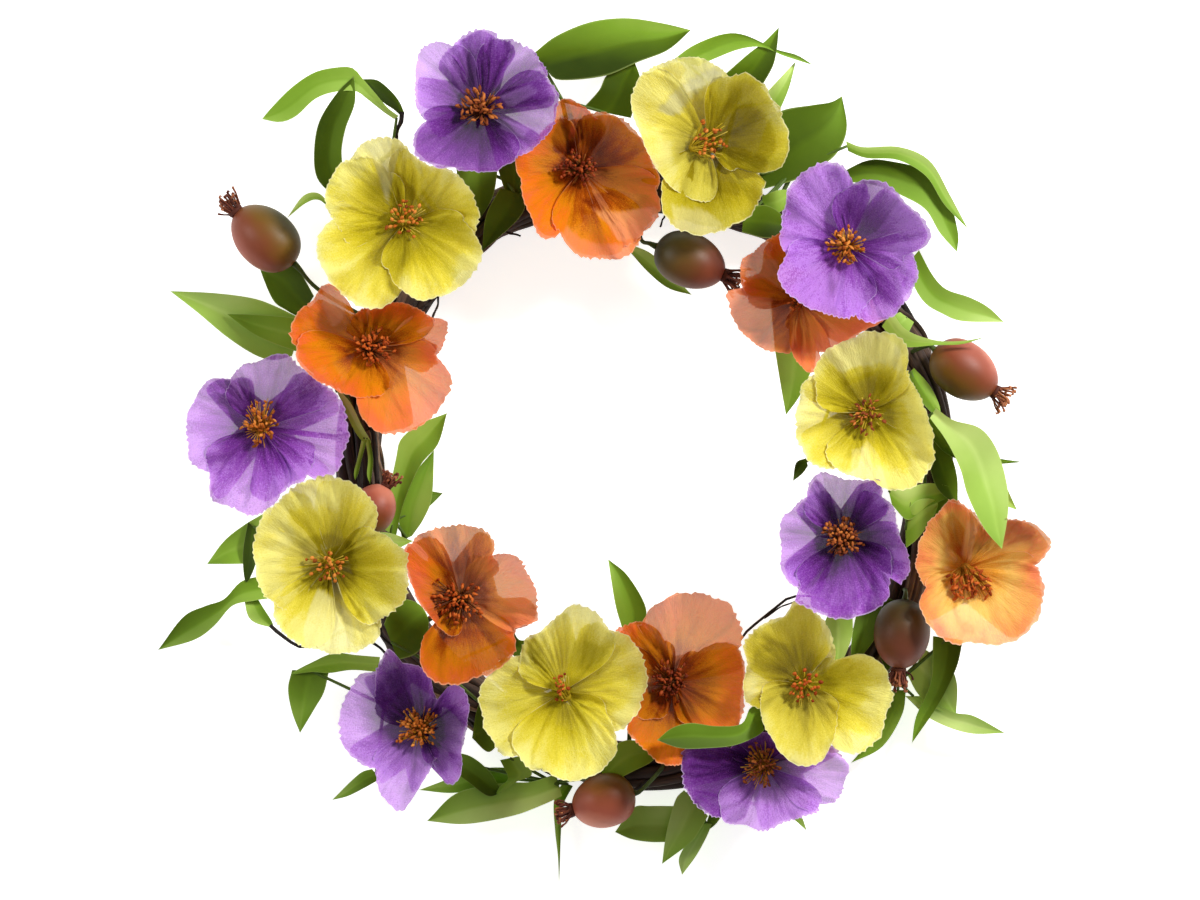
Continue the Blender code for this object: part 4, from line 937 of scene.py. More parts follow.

# Where the edge of another layer shows through the cloth, and patches of painted
# shadow and painted light on a flower: an outline in plan, then how much lighter,
# how much more shaded and how much paler it is inside.
SHOW_THROUGH_AND_PAINTED_LIGHT = {
    "y1": [([(368, 148), (384, 138), (402, 142), (396, 162), (387, 204), (379, 176)], -0.04, 0.16, 0.36)],
    "y4": [([(318, 588), (338, 601), (353, 618), (354, 642), (344, 650), (306, 650), (303, 630), (310, 606)], 0.02, 0.02, 0.40),
           ([(301, 538), (332, 533), (354, 543), (351, 566), (357, 582), (339, 596), (318, 588), (301, 597), (293, 584), (306, 568), (300, 552)], -0.14, 0.16, 0.0),
           ([(290, 506), (306, 528), (300, 540), (286, 524)], -0.12, 0.08, 0.0)],
    "y2": [([(657, 110), (674, 92), (690, 79), (714, 68), (724, 74), (707, 86), (690, 98), (681, 112), (670, 116)], -0.10, 0.42, 0.52),
           ([(723, 131), (736, 108), (750, 100), (771, 122), (777, 147), (759, 176), (738, 180), (728, 162)], -0.20, 0.13, 0.0),
           ([(671, 205), (706, 211), (723, 224), (707, 236), (676, 230)], 0.05, 0.0, 0.26),
           ([(704, 172), (722, 172), (741, 184), (738, 196), (716, 190), (702, 182)], -0.10, 0.14, 0.0)],
    "o5": [([(414, 540), (438, 525), (464, 522), (492, 530), (497, 550), (473, 561), (461, 573), (447, 570), (430, 556)], -0.40, 0.0, 0.14),
           ([(489, 556), (497, 552), (527, 558), (538, 582), (538, 620), (512, 618), (486, 600)], 0.0, 0.06, 0.26),
           ([(447, 570), (461, 573), (473, 561), (488, 558), (486, 590), (462, 590), (440, 586)], -0.14, 0.12, 0.0),
           ([(424, 634), (455, 628), (500, 632), (514, 642), (508, 668), (480, 684), (446, 684), (424, 664)], -0.16, 0.08, 0.0)],
    "o1": [([(560, 116), (582, 112), (583, 138), (569, 154), (554, 152), (551, 138)], -0.28, 0.34, 0.0),
           ([(573, 112), (580, 112), (574, 140), (568, 140)], 0.42, -0.2, 0.05),
           ([(583, 116), (614, 112), (638, 134), (639, 158), (618, 166), (591, 152), (583, 138)], -0.10, 0.0, 0.0),
           ([(593, 210), (621, 212), (654, 206), (661, 212), (648, 224), (640, 238), (619, 242), (608, 224)], 0.0, 0.10, 0.46),
           ([(566, 226), (582, 239), (602, 245), (622, 243), (638, 239), (634, 256), (604, 264), (576, 256), (562, 240)], 0.04, 0.08, 0.26),
           ([(574, 206), (593, 211), (621, 243), (602, 245), (582, 239), (566, 224)], -0.10, 0.10, 0.0),
           ([(582, 200), (610, 190), (648, 195), (660, 205), (624, 211), (593, 210)], -0.22, 0.20, 0.0)],
    "o3": [([(324, 291), (346, 288), (344, 318), (333, 327), (322, 305)], 0.0, 0.06, 0.50),
           ([(430, 322), (446, 318), (450, 338), (440, 354), (424, 346)], 0.0, 0.04, 0.24),
           ([(300, 345), (330, 338), (350, 352), (352, 378), (330, 384), (312, 366)], -0.20, 0.0, 0.0),
           ([(352, 300), (372, 296), (384, 318), (370, 330), (354, 318)], -0.10, 0.12, 0.0)],
    "o4": [([(980, 504), (990, 500), (996, 530), (986, 552), (980, 530)], -0.10, 0.20, 0.0),
           ([(938, 520), (952, 511), (966, 530), (962, 558), (948, 548)], -0.24, 0.26, 0.0),
           ([(967, 520), (977, 528), (971, 560), (961, 556)], 0.0, 0.0, 0.34),
           ([(996, 520), (1020, 514), (1044, 524), (1030, 540), (1000, 546)], 0.14, 0.16, 0.0)],
    "p2": [([(852, 178), (878, 182), (900, 200), (876, 232), (858, 236), (846, 204)], -0.16, 0.16, 0.0),
           ([(868, 276), (906, 262), (908, 290), (880, 316), (862, 300)], -0.10, 0.10, 0.0),
           ([(782, 262), (806, 250), (822, 262), (800, 284), (784, 286)], 0.12, -0.08, 0.04)],
    "p4": [([(800, 468), (830, 462), (836, 484), (824, 500), (808, 494)], 0.10, 0.0, 0.10)],
    "o2": [([(724, 284), (752, 296), (771, 298), (772, 352), (750, 348), (732, 328)], 0.10, 0.0, 0.44),
           ([(740, 256), (778, 260), (778, 276), (752, 279), (740, 275)], 0.0, 0.10, 0.30),
           ([(771, 298), (789, 306), (790, 352), (772, 352)], -0.16, 0.06, 0.0),
           ([(790, 305), (820, 296), (882, 304), (888, 330), (840, 360), (812, 376), (792, 356)], 0.10, -0.45, 0.22)],
    "y3": [([(824, 352), (846, 333), (880, 332), (900, 348), (904, 374), (886, 362), (862, 366), (840, 372)], 0.16, -0.05, 0.34),
           ([(836, 380), (862, 372), (888, 370), (898, 384), (880, 396), (850, 396)], -0.06, 0.08, 0.0),
           ([(852, 450), (868, 446), (876, 488), (850, 492)], 0.06, 0.0, 0.24)],
    "o6": [([(654, 606), (700, 604), (716, 620), (704, 640), (692, 654), (676, 640), (660, 628)], 0.06, -0.05, 0.10)],
    "y5": [([(518, 620), (540, 612), (548, 640), (536, 662), (522, 650)], -0.12, 0.10, 0.0),
           ([(584, 640), (606, 648), (600, 676), (580, 668)], -0.12, 0.10, 0.0)],
    "y6": [([(821, 610), (830, 622), (836, 644), (836, 660), (831, 655), (828, 640), (821, 626)], 0.16, -0.08, 0.30),
           ([(752, 650), (770, 640), (796, 646), (800, 664), (780, 676), (756, 670)], -0.10, 0.08, 0.0)],
    "p1": [([(500, 96), (530, 84), (538, 92), (510, 108)], 0.12, -0.1, 0.18), ([(504, 118), (530, 128), (524, 138), (500, 128)], 0.10, -0.1, 0.16),
           ([(452, 60), (470, 44), (478, 74), (466, 92), (452, 84)], -0.12, 0.10, 0.0)],
    "p3": [([(296, 376), (312, 370), (320, 402), (300, 412)], -0.10, 0.08, 0.0)],
}

LAYER = 0.0010           # one petal over another
PETAL_COLS, PETAL_ROWS = 92, 24


def shaded(flower, px, py, base):
    out = np.full(np.shape(px), base, float)
    # painted shade spots, a little weaker on yellow and orange cloth
    shade_scale = {"yellow": 0.84, "orange": 0.86}.get(flower.colour, 1.0)
    for (cx, cy), rad, strength in PAINTED_SHADE_SPOTS.get(flower.name, ()):
        out = 1 - (1 - out) * (1 - shade_scale * strength * np.exp(-((px - cx) ** 2 + (py - cy) ** 2) / rad ** 2))
    return np.clip(out, 0, 0.94)


def within(outline, px, py):
    """1 inside an outline in plan, 0 outside, turning over about two pixels."""
    line = np.asarray(outline, float)
    inside = np.zeros(px.shape, bool)
    near = np.full(px.shape, 1e9)
    for (ax, ay), (bx, by) in zip(line, np.roll(line, -1, axis=0)):
        ex, ey = bx - ax, by - ay
        if ay != by:
            inside ^= ((ay > py) != (by > py)) & (px < ex * (py - ay) / ey + ax)
        t = np.clip(((px - ax) * ex + (py - ay) * ey) / (ex * ex + ey * ey), 0, 1)
        near = np.minimum(near, np.hypot(px - ax - t * ex, py - ay - t * ey))
    return np.clip(0.5 + np.where(inside, near, -near) / 1.8, 0, 1)


def creases(seed, u, v, count):
    """Folds running out from the heart, about -1 deep to 1 high."""
    r = np.random.default_rng(seed)
    out = 0.0 * u * v
    for _ in range(count):
        at, wide, lean = r.uniform(0.04, 0.96), r.uniform(0.011, 0.044), r.normal(0, 0.16)
        tall = r.uniform(0.45, 1.0) * (1.0 if r.random() < 0.6 else -0.8)
        begin, end = (r.uniform(0.0, 0.25), r.uniform(0.5, 0.85)) if r.random() < 0.4 else (r.uniform(0.1, 0.5), 1.25)
        fade = np.clip((v - begin) / 0.2, 0, 1) * np.clip((end - v) / 0.25, 0, 1)
        x = (u - at - lean * (v - 0.6) - 0.015 * np.sin(7 * v + 20 * at)) / (wide * (0.75 + 0.5 * v))
        out = out + tall * fade * np.exp(-x * x)
    return out


def cloth_sheet(shape, flower, px, py, order, seed, base_shade, fray_amount=0.8, tint_and_light=0.0, pale=0.0,
                folds=10, calm=1.0, curl=0.0):
    """Lays a grid of plan positions, heart row first, on the flower as one petal."""
    rows, cols = px.shape
    a, r = flower.spread(px, py)
    u = np.linspace(0, 1, cols)[None, :]
    v = np.linspace(0, 1, rows)[:, None]
    cover = flower.covered(px, py)
    free = 1.0 - 0.85 * cover
    fold = creases(seed + 7, u, v, folds) * calm
    ruffle = ripple(seed + 1, 30 * u, 1.5 * v) * calm * v ** 4
    z = flower.height(a, r, cover) + order * LAYER * (1 - 0.5 * cover)
    z = z + free * (0.0012 * fold + 0.0019 * (0.4 * v ** 4 * calm + ruffle)
                    + 0.0003 * calm * ripple(seed, 34 * u, 7 * v) * np.clip(v * 4, 0, 1) + curl)
    s = np.clip(r / np.maximum(flower.outline(a), 1), 0, 1.1)
    fray = np.full((rows, cols), pale)
    fray[-1] = max(fray_amount, pale)
    fray[-2] = max(fray_amount * 0.35, pale)
    fray[:, 0] = np.maximum(fray[:, 0], fray_amount * 0.7)
    fray[:, -1] = np.maximum(fray[:, -1], fray_amount * 0.7)
    fray[:, 1] = np.maximum(fray[:, 1], fray_amount * 0.3)
    fray[:, -2] = np.maximum(fray[:, -2], fray_amount * 0.3)
    # the petal's colour shift, with painted light added where a rim turns up into the light
    for (cx, cy), rad, strength in LIGHTS.get(flower.name, ()):
        tint_and_light = tint_and_light + 0.8 * strength * np.exp(-((px - cx) ** 2 + (py - cy) ** 2) / rad ** 2)
    # painted light on the ridges of the creases and ruffles, painted shade in their valleys, besides the shading the
    # geometry itself gets
    tone = np.clip(s, 0, 1) * 0.94 + tint_and_light + 0.13 * np.clip(fold, -0.6, 1.0) + 0.09 * ruffle
    shade = shaded(flower, px, py, base_shade)
    shade = 1 - (1 - shade) * (1 - 0.40 * np.clip(-fold, 0, 1)) * (1 - 0.26 * np.clip(-ruffle, 0, 1))
    # show-through outlines, with their patches of painted shadow and painted light
    for outline, lighter, darker, paler in SHOW_THROUGH_AND_PAINTED_LIGHT.get(flower.name, ()):
        share = within(outline, px, py)
        tone, shade = tone + share * lighter, np.clip(shade + share * darker, 0, 0.95)
        fray = np.maximum(fray, share * paler)
    looks = np.stack([tone, shade, fray], axis=-1)
    uvs = np.stack([np.unwrap(a, axis=1) * 40 * UNIT + seed * 0.013, r * UNIT], axis=-1)
    grid = plan_points(px, py, z)
    shape.sheet(grid, looks, uvs)
    d1, d2 = grid[1:, :-1] - grid[:-1, :-1], grid[:-1, 1:] - grid[:-1, :-1]
    return float(np.linalg.norm(np.cross(d1, d2), axis=-1).sum())


def row_fractions(rows):
    v = np.linspace(0, 1, rows - 1)
    v = 1 - (1 - v) ** 1.25
    return np.concatenate([v[:-1], [0.984, 1.0]])


def upper_petal(shape, flower, index):
    """A petal of the upper layer, its shoulders running over or under its
    neighbours' according to their order."""
    knots, lift, order = flower.petals[index]
    seed = flower.seed + 10 + index
    rnd = np.random.default_rng(seed)
    first, last = knots[0][0], knots[-1][0]

    def neighbour(angle):
        found = [o for i, (k, _, o) in enumerate(flower.petals)
                 if i != index and rim_radius(k, angle) is not None]
        return max(found) if found else None

    sides = []
    for end, outward in ((first, -1), (last, 1)):
        other = neighbour(end + outward * 0.06)
        over = other is None or other < order
        sides.append((0.36 if over else 0.34, over))
    a0, a1 = first - sides[0][0], last + sides[1][0]
    t = np.linspace(-1, 1, PETAL_COLS)
    t = np.sin(t * math.pi / 2) * 0.55 + t * 0.45
    ang = (a0 + a1) / 2 + (a1 - a0) / 2 * t
    rim = np.zeros(PETAL_COLS)
    for i, a in enumerate(ang):
        if first <= a <= last:
            rim[i] = rim_radius(knots, a)
        else:
            side = 0 if a < first else 1
            wide, over = sides[side]
            end_r = knots[0][1] if side == 0 else knots[-1][1]
            far = min(1.0, abs(a - (first if side == 0 else last)) / wide)
            low = 0.36 if over else 0.80
            rim[i] = end_r * (low + (1 - low) * math.sqrt(max(0.0, 1 - far * far)))
    inside = flower.outline(ang)
    free = (ang >= first) & (ang <= last)
    rim = np.where(free, rim, np.minimum(rim, inside * 0.975))
    rim = rim * (1 + 0.013 * ripple(seed + 50, 14 * ang) + 0.022 * (0.5 - np.abs(ripple(seed + 51, 30 * ang)))
                 + 0.011 * ripple(seed + 52, 84 * ang))
    v = row_fractions(PETAL_ROWS)[:, None]
    start = 3.5
    r = start + (rim[None, :] - start) * v
    sway = rnd.uniform(-0.09, 0.09)
    a = ang[None, :] + sway * (1 - v) ** 1.4
    px = flower.heart[0] + r * np.cos(a)
    py = flower.heart[1] - r * np.sin(a)
    u = np.linspace(0, 1, PETAL_COLS)[None, :]
    calm, curl = 1.0, 0.0
    for (wide, over), near in zip(sides, (u, 1 - u)):
        if over:
            curl = curl + 0.0030 * np.clip(1 - near / 0.15, 0, 1) ** 1.6 * np.clip(v * 2.5, 0, 1)
        else:
            calm = calm * (1 - 0.8 * np.clip(1 - (near - 0.12) / 0.14, 0, 1))

    # a petal's own entry in a table: its painted shade, its colour shift with painted light, or its paleness
    def petal_entry(table):
        return table.get(flower.name, {}).get(index, 0.0)
    return cloth_sheet(shape, flower, px, py, order, seed, petal_entry(PETAL_SHADE), 0.8, petal_entry(TINT_AND_LIGHT), petal_entry(PALE), 14, calm, curl)


def lower_layer(shape, flower):
    """The petals of the lower layer, between its wedges."""
    gaps = []
    for g in GAPS.get(flower.name, [(70, 76, 0.6), (190, 196, 0.6), (310, 316, 0.6)]):
        lo, hi, tip = g[0], g[1], g[2]
        gaps.append((math.radians(lo), math.radians(hi), tip, math.radians(g[3] if len(g) > 3 else (lo + hi) / 2)))
    gaps.sort(key=lambda g: ((g[0] + g[1]) / 2) % TWO_PI)
    area = 0.0
    n = len(gaps)
    for i in range(n):
        g, h = gaps[i], gaps[(i + 1) % n]
        a0, a1 = g[1], h[0]
        while a1 <= a0:
            a1 += TWO_PI
        while a1 - a0 > TWO_PI:
            a1 -= TWO_PI
        cols, rows = max(16, int(44 * (a1 - a0) / 1.8)), 13
        u = np.linspace(0, 1, cols)
        ang = a0 + (a1 - a0) * u
        seed = flower.seed + 40 + i
        corner = np.minimum(u, 1 - u) * (a1 - a0) / 0.16
        soft = 0.90 + 0.10 * np.sqrt(1 - (1 - np.clip(corner, 0, 1)) ** 2)
        rim = flower.outline(ang) * (0.962 + 0.012 * ripple(seed, 11 * ang) + 0.006 * ripple(seed + 3, 34 * ang)) * soft
        hx, hy = flower.heart

        def spot(angle, frac):
            q = frac * float(flower.outline(angle))
            return np.array([hx + q * math.cos(angle), hy - q * math.sin(angle)])
        b0, b2 = spot(g[3], g[2]), spot(h[3], h[2])
        b1 = np.array([hx, hy]) * 1.5 - (b0 + b2) * 0.25
        uu = u[:, None]
        base = b0 * (1 - uu) ** 2 + 2 * b1 * uu * (1 - uu) + b2 * uu ** 2
        tip = np.stack([hx + rim * np.cos(ang), hy - rim * np.sin(ang)], axis=1)
        v = row_fractions(rows)[:, None, None]
        grid = base[None] * (1 - v) + tip[None] * v
        area += cloth_sheet(shape, flower, grid[..., 0], grid[..., 1], -1.3 - 0.5 * (i % 2), seed, 0.05, 0.45, 0.0, 0.0, 5, 0.3)
    return area


def ring_point(px, py, z):
    dx, dy = px - RING_MID[0], py - RING_MID[1]
    d = math.hypot(dx, dy)
    return plan_points(np.float64(RING_MID[0] + dx * RING_R / d), np.float64(RING_MID[1] + dy * RING_R / d), np.float64(z))


def flower_stem(name):
    """Green calyx with its lobes, and the wire stem into the bundle of vines."""
    f = BLOOMS[name]
    s = Shape()
    c = plan_points(np.float64(f.heart[0]), np.float64(f.heart[1]), np.float64(f.z - 0.0032))
    down = np.array([0, 0, -1.0])
    root = ring_point(f.heart[0], f.heart[1], 0.026)
    prof = [(0.0, 0.0064), (0.0012, 0.0067), (0.0035, 0.0060), (0.0062, 0.0044), (0.0084, 0.0029), (0.0094, 0.0022)]
    line = [c + down * d for d, _ in prof]
    s.tube(line, [r for _, r in prof], 20, (0.35, 0.0, 0.0))
    start = line[-1]
    mid = start * 0.5 + root * 0.5 + np.array([0.0, 0.0, -0.004])
    path = spline([start + down * -0.001, start + down * 0.004, mid, root], 18)
    s.tube(path, np.linspace(0.0016, 0.0019, 18), 8, (0.2, 0.15, 0.0))
    for k in range(5):
        a = TWO_PI * k / 5 + f.seed
        out = np.array([math.cos(a), math.sin(a), 0.0])
        pts = spline([c + out * 0.003 + down * 0.003, c + out * 0.0072 + down * 0.0008, c + out * 0.0115 + down * 0.0012], 8)
        s.tube(pts, [0.0014, 0.0018, 0.0020, 0.0019, 0.0016, 0.0012, 0.0008, 0.0003], 6, (0.6, 0.0, 0.0))
    return finish_piece(s.build(NUMBERS[name] + "_stem", [CALYX]))


SHEETS = []
for name, flower in BLOOMS.items():
    s = Shape()
    area = lower_layer(s, flower)
    order = sorted(range(len(flower.petals)), key=lambda i: flower.petals[i][2])
    for i in order:
        area += upper_petal(s, flower, i)
    piece = s.build(NUMBERS[name] + "_cloth", [CLOTH["peach" if name == "o4" else flower.colour]])
    finish_piece(piece, [NUMBERS[name] + "_petals"])
    stem = flower_stem(name)
    side = round(math.sqrt(area / 0.78), 3)
    SHEETS.append((piece.name, side, area))

# ---- stamens -------------------------------------------------------------------------------
# Middle of the tuft, its half width and half height, how many, the anthers' and
# the threads' colour, an anther's length and width in mm.
TUFTS = {
    "p1": ((479, 106), (23, 19), 58, "brown", "dark", (4.6, 2.0)),
    "p2": ((846, 246), (18, 21), 60, "orange", "gold", (3.8, 1.9)),
    "p3": ((261, 423), (19, 24), 54, "orange", "gold", (3.6, 1.9)),
    "p4": ((842, 537), (20, 20), 92, "brown", "dark", (3.0, 1.9)),
    "p5": ((417, 727), (22, 20), 92, "orange", "gold", (2.9, 1.8)),
    "p6": ((761, 765), (20, 23), 70, "brown", "gold", (2.9, 1.8)),
    "o1": ((578, 168), (22, 15), 62, "dusky", "dark", (3.0, 2.0)),
    "o2": ((797, 303), (9, 8), 20, "red", "dark", (3.0, 1.6)),
    "o3": ((374, 346), (21, 18), 76, "red", "dark", (3.2, 1.8)),
    "o4": ((970, 583), (25, 17), 66, "red", "gold", (4.8, 1.9)),
    "o5": ((455, 603), (29, 25), 84, "red", "dark", (3.4, 1.9)),
    "o6": ((670, 681), (20, 20), 66, "dusky", "dark", (3.2, 2.0)),
    "y1": ((406, 217), (22, 18), 34, "orange", "pale", (3.0, 2.2)),
    "y2": ((709, 140), (18, 21), 30, "orange", "pale", (3.0, 2.3)),
    "y3": ((866, 416), (18, 19), 50, "brown", "pale", (3.4, 1.6)),
    "y4": ((328, 566), (22, 17), 32, "orange", "pale", (2.9, 2.3)),
    "y5": ((561, 686), (8, 17), 22, "red", "pale", (2.6, 1.8)),
    "y6": ((804, 686), (17, 19), 30, "red", "pale", (3.0, 2.2)),
}
ROOTS = {"y2": (694, 147), "y5": (566, 696), "p1": (482, 110)}


def anther(s, tip, way, long, wide, tone, slot):
    """A small bean lying along its way, with a crease."""
    way = way / np.linalg.norm(way)
    side = np.cross(way, (0.0, 0.0, 1.0))
    if np.linalg.norm(side) < 0.1:
        side = np.cross(way, (1.0, 0.0, 0.0))
    side /= np.linalg.norm(side)
    up = np.cross(side, way)
    rings, k = 6, 7
    pts, looks = [], []
    for i in range(rings):
        f = i / (rings - 1)
        q = math.sin(math.pi * (0.06 + 0.88 * f)) ** 0.7
        for j in range(k):
            b = TWO_PI * j / k
            w = wide * 0.5 * q * (1 - 0.22 * max(0.0, math.cos(b - math.pi / 2)) ** 3)
            pts.append(tip + way * (long * (f - 0.35)) + side * (w * math.cos(b)) + up * (w * math.sin(b)))
            looks.append((tone + 0.12 * f, 0.0, 0.0))
    faces = [(i * k + j, (i + 1) * k + j, (i + 1) * k + (j + 1) % k, i * k + (j + 1) % k)
             for i in range(rings - 1) for j in range(k)]
    faces.append(tuple(range(k)))
    faces.append(tuple((rings - 1) * k + j for j in reversed(range(k))))
    s.add(pts, faces, np.array(looks), slot=slot)


for name, flower in BLOOMS.items():
    centre, spread, count, bead, thread, (long, wide) = TUFTS[name]
    root = ROOTS.get(name, flower.heart)
    rnd = np.random.default_rng(flower.seed + 7)
    s = Shape()
    zc = flower.z + max(o for _, _, o in flower.petals) * LAYER
    # the crinkled button in the middle
    c = plan_points(np.float64(root[0]), np.float64(root[1]), np.float64(zc - 0.0010))
    prof = [(0.0, 0.0030), (0.0012, 0.0034), (0.0026, 0.0031), (0.0036, 0.0022), (0.0040, 0.0008)]
    s.tube([c + np.array([0, 0, h]) for h, _ in prof], [r for _, r in prof], 14, (0.35, 0.1, 0.0), slot=1)
    for i in range(count):
        q = ((i + 0.5) / count) ** 0.56
        th = i * 2.399963 + rnd.uniform(-0.35, 0.35)
        th += 0.16 * math.sin(6 * th + flower.seed)
        q *= 0.90 + 0.16 * math.sin(4 * th + 1.7 * flower.seed) + rnd.uniform(-0.10, 0.10)
        tx = centre[0] + spread[0] * q * math.cos(th) + rnd.uniform(-2.2, 2.2)
        ty = centre[1] - spread[1] * q * math.sin(th) + rnd.uniform(-2.2, 2.2)
        top = zc + 0.0038 + 0.0050 * (1 - q * q) + rnd.uniform(-0.0014, 0.0010)
        tip = plan_points(np.float64(tx), np.float64(ty), np.float64(top))
        start = c + np.array([math.cos(th), math.sin(th), 0.0]) * 0.0022 + np.array([0, 0, 0.0008])
        bow = (start + tip) / 2 + np.array([0, 0, 0.0022]) + rnd.normal(0, 0.0004, 3)
        line = spline([start, bow, tip], 7)
        tone = rnd.uniform(0.05, 0.85)
        s.tube(line, np.linspace(0.00040, 0.00032, 7), 4, (rnd.uniform(0.25, 0.75), 0.0, 0.0), slot=1)
        way = line[-1] - line[-2]
        way = way / np.linalg.norm(way) + np.array([0, 0, 0.05]) + rnd.normal(0, 0.75, 3)
        anther(s, tip, way, long * 0.001 * rnd.uniform(0.75, 1.15), wide * 0.001 * rnd.uniform(0.8, 1.2), tone, 0)
    for i in range(count // 3):
        th = rnd.uniform(0, TWO_PI)
        q = rnd.uniform(0.7, 1.12)
        tx = centre[0] + spread[0] * q * math.cos(th)
        ty = centre[1] - spread[1] * q * math.sin(th)
        tip = plan_points(np.float64(tx), np.float64(ty), np.float64(zc + rnd.uniform(0.002, 0.0045)))
        start = c + np.array([math.cos(th), math.sin(th), 0.0]) * 0.0022
        line = spline([start, (start + tip) / 2 + np.array([0, 0, 0.0012]), tip], 6)
        s.tube(line, np.linspace(0.00036, 0.00022, 6), 4, (rnd.uniform(0.4, 0.9), 0.0, 0.0), slot=1)
    finish_piece(s.build(NUMBERS[name] + "_tuft", [ANTHER[bead], THREAD[thread]]), [NUMBERS[name] + "_stamens"])

# ---- rose hips --------------------------------------------------------------------------------
# Ripeness of a hip: its red side's direction in plan (degrees), how red, how dark.
RIPE = {"h1": (215, 0.50, 0.0), "h2": (-40, 0.42, 0.40), "h3": (50, 0.60, 0.0),
        "h4": (60, 0.72, 0.10), "h5": (-100, 0.60, 0.70), "h6": (-100, 0.80, 0.02)}

# How much longer at each end, and how much slimmer, than the plain round one.
OVAL = {"h1": (3.6, 0.94), "h3": (4.6, 0.93), "h6": (2.6, 1.0), "h5": (1.8, 0.97)}

for number, (key, (stalk, e0, e1, half, calyx, hz)) in enumerate(HIPS.items(), 1):
    rnd = np.random.default_rng(900 + number)
    z = hz * 0.001
    a = plan_points(np.float64(e0[0]), np.float64(e0[1]), np.float64(z))
    b = plan_points(np.float64(e1[0]), np.float64(e1[1]), np.float64(z))
    c = plan_points(np.float64(calyx[0]), np.float64(calyx[1]), np.float64(z))
    axis = (b - a) / np.linalg.norm(b - a)
    long = np.linalg.norm(b - a)
    side = np.cross(axis, (0, 0, 1.0))
    side /= np.linalg.norm(side)
    up = np.cross(side, axis)
    grow, slim = OVAL.get(key, (0.0, 1.0))
    a, b, long = a - axis * (grow * UNIT), b + axis * (grow * UNIT), long + 2 * grow * UNIT
    w = half * slim * UNIT
    s = Shape()
    rings, k = 44, 56
    facing, red, dark = RIPE[key]
    red_way = np.array([math.cos(math.radians(facing)), math.sin(math.radians(facing)), 0.15])
    pts, looks = [], []
    for i in range(rings):
        f = 0.5 - 0.5 * math.cos(math.pi * i / (rings - 1))
        x = 2 * f - 1
        q = max(0.0, 1 - abs(x) ** (2.1 - 0.25 * x)) ** 0.5 * (0.965 - 0.05 * x)
        q = max(q, 0.10 if i in (0, rings - 1) else 0.12)
        for j in range(k):
            g = TWO_PI * j / k
            wob = 1 + 0.010 * float(ripple(number * 7, 2.2 * math.cos(g) + 2 * f, 2.2 * math.sin(g)))
            n = side * math.cos(g) + up * math.sin(g)
            seam = 0.0035 * math.exp(-((f - 0.46) / 0.010) ** 2)
            p = a + axis * (long * f) + n * (w * q * (wob - seam))
            pts.append(p)
            normal = n * q + axis * (x * 0.9)
            normal /= np.linalg.norm(normal)
            tone = red * 0.75 + 0.42 * float(normal @ red_way) + 0.10 * (f - 0.5)
            looks.append((tone, dark * (1 - 0.3 * f), 0.0))
    faces = [(i * k + j, (i + 1) * k + j, (i + 1) * k + (j + 1) % k, i * k + (j + 1) % k)
             for i in range(rings - 1) for j in range(k)]
    faces.append(tuple(range(k)))
    faces.append(tuple((rings - 1) * k + j for j in reversed(range(k))))
    s.add(pts, faces, np.clip(np.array(looks), 0, 1), slot=0)
    # dried calyx: a rough collar, then curling threads with thick ends
    reach = np.linalg.norm(c - b)
    s.tube([b - axis * 0.0012, b + axis * 0.0014, b + axis * 0.0030], [w * 0.24, w * 0.27, w * 0.12], 16, (0.3, 0.25, 0.0), slot=1)
    clump = key in ("h4", "h5", "h6")
    for i in range(34 if clump else 24):
        th = TWO_PI * i / 24 * 1.0 + rnd.uniform(-0.2, 0.2)
        ring = rnd.uniform(0.10, 0.26) * w
        spread = rnd.uniform(0.15, 0.75) * (ring / (0.26 * w))
        out = side * math.cos(th) + up * math.sin(th)
        start = b + axis * 0.0015 + out * ring
        far = reach * (rnd.uniform(0.35, 0.75) if clump else rnd.uniform(0.55, 0.95))
        way = axis * math.cos(spread) + out * math.sin(spread)
        bend = rnd.normal(0, 0.0011, 3)
        hook = np.cross(way, rnd.normal(0, 1, 3))
        hook /= np.linalg.norm(hook)
        end = start + way * far + bend
        line = spline([start, start + way * far * 0.55 + bend, end, end + hook * 0.0013 + way * 0.0004, end + hook * 0.0017 - way * 0.0008], 12)
        line[:, 2] = np.maximum(line[:, 2], 0.0015)
        s.tube(line, [0.0008, 0.00066, 0.00056, 0.0005, 0.0005, 0.00052, 0.00058, 0.00064, 0.0007, 0.0008, 0.0007, 0.0004], 6,
               np.stack([rnd.uniform(0.1, 0.55) + (0.3 if key == "h3" else 0.0) + 0.4 * np.linspace(0, 1, 12) ** 2, np.zeros(12), np.zeros(12)], axis=1), slot=1)
    sp = plan_points(np.float64(stalk[0][0]), np.float64(stalk[0][1]), np.float64(0.5 * (z + 0.027)))
    root = ring_point(stalk[0][0], stalk[0][1], 0.024)
    way = [root, sp, a - axis * 0.004, a + axis * 0.001] if np.linalg.norm(sp - root) > 0.010 else [root, a - axis * 0.006, a + axis * 0.001]
    line = spline(way, 20)
    s.tube(line, np.concatenate([np.full(17, 0.0013), [0.0015, 0.0019, 0.0024]]), 8, (0.25, 0.25, 0.0), slot=2)
    piece = s.build("rose_hip_%d_fruit" % number, [HIP, HIP_DRY, LEAF_STALK])
    finish_piece(piece, ["rose_hip_%d" % number])
